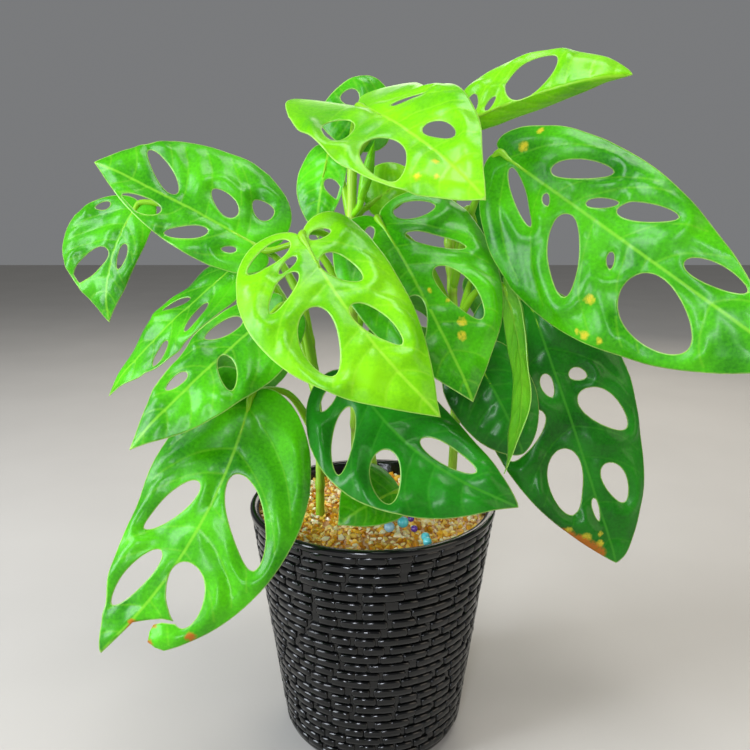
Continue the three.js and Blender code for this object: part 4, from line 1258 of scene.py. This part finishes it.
leaves = {name: build_leaf(name, leaf, seed) for seed, (name, leaf) in enumerate(LEAVES.items())}
print("leaf triangles:", sum(len(piece.data.polygons) for piece in leaves.values()))

# %% [markdown]
# ## Leaf surface
#
# A leaf is thin, waxy tissue. The wax gives a broad soft sheen with a sharper coat on top, an index
# of refraction near 1.45, and light that falls on one side glows through to the other as yellow
# green. Young leaves are lime, grown ones mid green, and old ones deep green; on the leaves that
# hang low and at the back, the deep green is partly painted shade. A hair-thin pale line round the
# margin and every hole is a painted highlight along the edge. The midrib and veins are paler than
# the tissue, and the tissue is faintly mottled at about 1 mm and clouded at about 24 mm.

# %% Leaf surface
def leaf_surface(name, deep, bright, line):
    """A leaf's surface between a deep and a bright green, with the colour of its veins."""
    material, tree, shader = new_material(name)
    place = add_node(tree, "ShaderNodeTexCoord").outputs["Object"]
    read = {title: add_node(tree, "ShaderNodeAttribute", attribute_name=title).outputs["Fac"]
            for title in ("edge", "vein", "rib", "under", "stalk", "scorch", "yellow")}
    cloud = add_node(tree, "ShaderNodeTexNoise", {"Vector": place, "Scale": 1 / (24 * MM), "Detail": 1.0})
    fleck = add_node(tree, "ShaderNodeTexNoise", {"Vector": place, "Scale": 1 / (1.3 * MM), "Detail": 2.0})
    blotch = add_node(tree, "ShaderNodeMath", {
        0: fleck.outputs["Fac"], 1: 0.4, 2: cloud.outputs["Fac"]}, operation="MULTIPLY_ADD")
    spread = add_node(tree, "ShaderNodeMapRange", {
        "Value": blotch.outputs[0], "From Min": 0.42, "From Max": 0.96})
    colour = add_node(tree, "ShaderNodeMix", {
        "Factor_Float": spread.outputs["Result"], "A_Color": linear(deep), "B_Color": linear(bright),
    }, data_type="RGBA").outputs[2]
    # Each layer: an attribute, two of its values, the tint's share at each of them, and the tint
    layers = [
        ("vein", 0.15, 0.8, 0.2, 0.0, line),
        ("rib", 0.25, 0.9, 0.5, 0.0, line),
        # The pale edge tint is a painted highlight along the margin and the rims of the holes
        ("edge", 0.1, 0.6, 0.65, 0.0, "#C8EC7C"),
        ("under", 0.0, 1.0, 0.0, 0.4, "#5FB03C"),
        ("stalk", 0.0, 1.0, 0.0, 0.95, "#8CCB1C"),
        ("yellow", 0.12, 0.45, 0.0, 0.85, "#E4D030"),
        ("scorch", 0.12, 0.4, 0.0, 0.95, "#C06C18"),
    ]
    for title, near, far, at_near, at_far, tint in layers:
        if title in ("yellow", "scorch"):
            ragged = add_node(tree, "ShaderNodeMath", {
                0: read[title], 1: fleck.outputs["Fac"]}, operation="MULTIPLY")
            read[title] = ragged.outputs[0]
        share = add_node(tree, "ShaderNodeMapRange", {
            "Value": read[title], "From Min": near, "From Max": far, "To Min": at_near, "To Max": at_far})
        colour = add_node(tree, "ShaderNodeMix", {
            "Factor_Float": share.outputs["Result"], "A_Color": colour, "B_Color": linear(tint),
        }, data_type="RGBA").outputs[2]
    sheen = add_node(tree, "ShaderNodeMapRange", {
        "Value": cloud.outputs["Fac"], "To Min": 0.28, "To Max": 0.44})
    grain = add_node(tree, "ShaderNodeBump", {
        "Height": fleck.outputs["Fac"], "Strength": 0.35, "Distance": 0.12 * MM})
    tree.links.new(colour, shader.inputs["Base Color"])
    tree.links.new(sheen.outputs["Result"], shader.inputs["Roughness"])
    tree.links.new(grain.outputs["Normal"], shader.inputs["Normal"])
    shader.inputs["IOR"].default_value = 1.45
    shader.inputs["Specular IOR Level"].default_value = 0.3
    shader.inputs["Coat Weight"].default_value = 0.2
    shader.inputs["Coat Roughness"].default_value = 0.2
    glow = add_node(tree, "ShaderNodeBsdfTranslucent", {"Color": colour})
    both = add_node(tree, "ShaderNodeMixShader", {0: 0.2, 1: shader.outputs[0], 2: glow.outputs[0]})
    tree.links.new(both.outputs[0], tree.nodes["Material Output"].inputs["Surface"])
    return material


print("leaf surface: one rule for three greens")

# %% [markdown]
# Five leaves are young and lime green, and the rest are in between. Four are deep green, partly
# with age and partly as painted shade, because they hang low or at the back under the others.

# %% Greens of the leaves
leaf_materials = {
    "leaf_light": leaf_surface("leaf_young_lime", "#55B400", "#8CE000", "#B4F040"),
    "leaf": leaf_surface("leaf_grown_green", "#1C7800", "#58CC00", "#98E038"),
    "leaf_dark": leaf_surface("leaf_old_and_shaded_green", "#0A5804", "#20900C", "#4CA828"),
}
LIGHT_LEAVES = ["leaf_centre", "leaf_top_centre", "leaf_top_right", "leaf_edge_on", "leaf_back_mid"]
# The deep green of these four leaves is partly their age and partly painted shade
DARK_LEAVES = ["leaf_right_low", "leaf_right_small", "leaf_back_right", "leaf_low_centre"]
leaf_slots = dict.fromkeys(LEAVES, "leaf")
leaf_slots.update(dict.fromkeys(LIGHT_LEAVES, "leaf_light"))
leaf_slots.update(dict.fromkeys(DARK_LEAVES, "leaf_dark"))
for name, piece in leaves.items():
    set_surface(piece, leaf_materials[leaf_slots[name]])
print("leaf surfaces:", list(leaf_materials))

# %% [markdown]
# ## Stem surface and stems
#
# The stems are smooth, firm and yellow green, streaked lengthwise with paler green, and the rings
# at the nodes are a little browner where old sheaths dried off.

# %% Stem surface
stem_cane, tree, shader = new_material("stem_green_cane")
place = add_node(tree, "ShaderNodeTexCoord").outputs["Object"]
drawn = add_node(tree, "ShaderNodeMapping", {"Vector": place, "Scale": (1, 1, 0.12)})
streak = add_node(tree, "ShaderNodeTexNoise", {
    "Vector": drawn.outputs[0], "Scale": 1 / (1.5 * MM), "Detail": 3.0})
node_ring = add_node(tree, "ShaderNodeAttribute", attribute_name="ring").outputs["Fac"]
green = add_node(tree, "ShaderNodeMix", {
    "Factor_Float": streak.outputs["Fac"], "A_Color": linear("#6FA80E"), "B_Color": linear("#B4E03A"),
}, data_type="RGBA")
browned = add_node(tree, "ShaderNodeMath", {0: node_ring, 1: 0.45}, operation="MULTIPLY")
cane = add_node(tree, "ShaderNodeMix", {
    "Factor_Float": browned.outputs[0], "A_Color": green.outputs[2], "B_Color": linear("#7A6A22"),
}, data_type="RGBA")
tree.links.new(cane.outputs[2], shader.inputs["Base Color"])
bump = add_node(tree, "ShaderNodeBump", {
    "Height": streak.outputs["Fac"], "Strength": 0.3, "Distance": 0.2 * MM})
tree.links.new(bump.outputs["Normal"], shader.inputs["Normal"])
shader.inputs["Roughness"].default_value = 0.38
shader.inputs["IOR"].default_value = 1.45
shader.inputs["Subsurface Weight"].default_value = 0.1
shader.inputs["Subsurface Radius"].default_value = (0.6, 1.0, 0.2)
shader.inputs["Subsurface Scale"].default_value = 1.0 * MM
print("stem surface:", stem_cane.name)

# %% [markdown]
# A stem is a tube whose radius swells a little at every node and dips at the scar just under it.
# There is a node where each leaf's stalk leaves, and one about every 3 cm where no leaf is left.

# %% Stems
STEM_SIDES = 20
STEM_STEP = 1.5
NODE_SPACING = 29

stems = {}
for name, (path, radius) in STEMS.items():
    steps = int((path[-1][2] - path[0][2]) / STEM_STEP)
    line = np.array([curve_point(stem_paths[name], s) for s in np.linspace(0, 1, steps)])
    joints = [leaf["height"] for leaf in LEAVES.values() if leaf["stem"] == name]
    bare = np.arange(128, path[-1][2] - 6, NODE_SPACING)
    joints += [z for z in bare if all(abs(z - j) > 9 for j in joints)]
    swell = sum(np.exp(-((line[:, 2] - j) / 2.2) ** 2) for j in joints)
    scar = sum(np.exp(-((line[:, 2] - j + 3) / 0.9) ** 2) for j in joints)
    radii = radius * (0.92 + 0.17 * np.minimum(swell, 1) - 0.05 * np.minimum(scar, 1))
    radii[-3:] *= (0.9, 0.7, 0.35)
    points, faces = tube(line, radii, STEM_SIDES)
    stems[name] = new_piece(name + "_cane", points, faces)
    store(stems[name], "ring", np.repeat(np.minimum(scar, 1), STEM_SIDES))
    set_surface(stems[name], stem_cane)
print("stems:", len(stems))

# %% [markdown]
# ## The new leaf
#
# The youngest leaf is still rolled up like a scroll and stands as a pale spindle on the main stem.
# It is a turned spindle whose radius drops by a step once round, and the step winds up it, which
# reads as the free edge of the rolled blade.

# %% New leaf
NEW_LEAF_BASE = np.array([-6.0, 3, 262])
NEW_LEAF_TIP = np.array([1.0, 4, 290])
NEW_LEAF_RADIUS = 3.2
ROLL_ROWS = 40
ROLL_SIDES = 32
NEW_STALK_POINTS = 12
NEW_STALK_RADIUS = 1.6

axis = NEW_LEAF_TIP - NEW_LEAF_BASE
side = unit(np.cross(axis, (0, 1, 0)))
front = unit(np.cross(axis, side))
roll_points = []
for share in np.linspace(0, 1, ROLL_ROWS):
    width = np.interp(share, [0, 0.08, 0.25, 0.45, 0.75, 1], [0.3, 0.6, 0.85, 1, 0.66, 0.05])
    width *= NEW_LEAF_RADIUS
    for k in range(ROLL_SIDES):
        turn = 2 * math.pi * k / ROLL_SIDES
        wrap = (k / ROLL_SIDES + 0.8 * share) % 1
        radius = width * (0.82 + 0.18 * wrap)
        outward = math.cos(turn) * side - math.sin(turn) * front
        roll_points.append(NEW_LEAF_BASE + axis * share + radius * outward)
roll_faces = ring_faces(ROLL_ROWS, ROLL_SIDES)
stalk_line = [stem_point("stem_main", 256), np.array([-6.0, 3, 261]), NEW_LEAF_BASE + axis * 0.1]
stalk_path = [curve_point(stalk_line, share) for share in np.linspace(0, 1, NEW_STALK_POINTS)]
stalk_points, stalk_faces = tube(stalk_path, [NEW_STALK_RADIUS] * NEW_STALK_POINTS, STALK_SIDES)
roll_faces += [tuple(k + len(roll_points) for k in face) for face in stalk_faces]
new_leaf = new_piece("new_leaf_rolled", roll_points + stalk_points, roll_faces)
for title in ("edge", "vein", "rib"):
    store(new_leaf, title, np.full(len(new_leaf.data.vertices), FAR_AWAY))
set_surface(new_leaf, leaf_materials["leaf_light"])
print("new leaf faces:", len(new_leaf.data.polygons))

# %% [markdown]
# ## Floor
#
# The floor is plain and pale, a wide sheet of matt paint that takes the plant's shadow.

# %% Floor
FLOOR_HALF = 3000

floor_paint, tree, shader = new_material("floor_pale_paint")
place = add_node(tree, "ShaderNodeTexCoord").outputs["Object"]
haze = add_node(tree, "ShaderNodeTexNoise", {"Vector": place, "Scale": 8.0})
tone = add_node(tree, "ShaderNodeMix", {
    "Factor_Float": haze.outputs["Fac"], "A_Color": linear("#B6B2AB"), "B_Color": linear("#C0BCB5"),
}, data_type="RGBA")
tree.links.new(tone.outputs[2], shader.inputs["Base Color"])
shader.inputs["Roughness"].default_value = 0.8
floor_corners = [(x * FLOOR_HALF, y * FLOOR_HALF, 0) for x, y in ((-1, -1), (1, -1), (1, 1), (-1, 1))]
floor = new_piece("floor", floor_corners, [(0, 1, 2, 3)])
set_surface(floor, floor_paint)
print("floor:", floor.name)

# %% [markdown]
# ## Lights
#
# A tall cool panel at the left stands in for a window and gives the leaves their pale sheen. A
# narrow one in front draws the thin reflections on the pot's bars. A warm panel fills the right,
# one above lights the top leaves, one behind lights the rear ones, and the world adds a soft grey.
# The Standard view keeps the greens as vivid as they look by daylight.

# %% Lights
LIGHT_AIM = Vector((0, 0, 0.2))
LIGHTS = {
    "window": ((-1.0, -0.4, 0.6), (0.5, 1.0), 19, "#EEF5FF"),
    "fill": ((0.9, -0.5, 0.5), (0.6, 0.8), 2.5, "#FFF1DC"),
    "doorway": ((-0.28, -1.4, 0.55), (0.2, 0.7), 10, "#EEF4FF"),
    "above": ((0.1, -0.1, 1.2), (0.5, 0.5), 7, "#FFFFFF"),
    "behind": ((0.3, 0.9, 0.7), (0.8, 0.6), 4, "#FFF8EA"),
}
for name, (where, panel, watts, colour) in LIGHTS.items():
    lamp = bpy.data.lights.new(name, "AREA")
    lamp.shape = "RECTANGLE"
    lamp.size, lamp.size_y = panel
    lamp.energy = watts
    lamp.color = linear(colour)[:3]
    light = bpy.data.objects.new(name, lamp)
    light.location = where
    light.rotation_euler = (LIGHT_AIM - light.location).to_track_quat("-Z", "Y").to_euler()
    bpy.context.scene.collection.objects.link(light)

bpy.context.scene.view_settings.view_transform = "Standard"
world = bpy.data.worlds.new("soft_room")
world.use_nodes = True
world.node_tree.nodes["Background"].inputs["Color"].default_value = linear("#F1F3F6")
world.node_tree.nodes["Background"].inputs["Strength"].default_value = 0.22
bpy.context.scene.world = world
print("lights:", len(LIGHTS))

# %% [markdown]
# ## Camera
#
# The camera stands a little above the middle of the plant and looks down at it. Its place and its
# lens come from the ellipse of the pot's rim and the lean of the pot's sides in the picture.

# %% Camera
CAMERA_PLACE = (0.001, -0.353, 0.262)
CAMERA_PITCH = 12.7
FOCAL_PIXELS = 760
PICTURE_PIXELS = 750
SENSOR = 36

lens = bpy.data.cameras.new("camera")
lens.sensor_width = SENSOR
lens.lens = SENSOR * FOCAL_PIXELS / PICTURE_PIXELS
lens.clip_start = 0.01
camera = bpy.data.objects.new("camera", lens)
camera.location = CAMERA_PLACE
camera.rotation_euler = (math.radians(90 - CAMERA_PITCH), 0, 0)
bpy.context.scene.collection.objects.link(camera)
bpy.context.scene.camera = camera
print("camera lens:", round(lens.lens, 2), "mm")

# %% [markdown]
# ## Putting the pieces on the frame
#
# Nothing on the plant moves, so every piece rides on the one body. Each piece stands for its CAD
# node, which is hidden.

# %% Riding and replacing
for piece in (pot_wall, pot_bars):
    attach(piece, "root")
    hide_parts("pot")
for piece in (gravel, gravel_base):
    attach(piece, "root")
    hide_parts("gravel_bed")
for name, piece in stems.items():
    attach(piece, "root")
    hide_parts(name)
for name, piece in leaves.items():
    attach(piece, "root")
    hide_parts(name)
for name, piece in beads.items():
    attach(piece, "root")
    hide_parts(name)
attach(new_leaf, "root")
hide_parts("new_leaf")
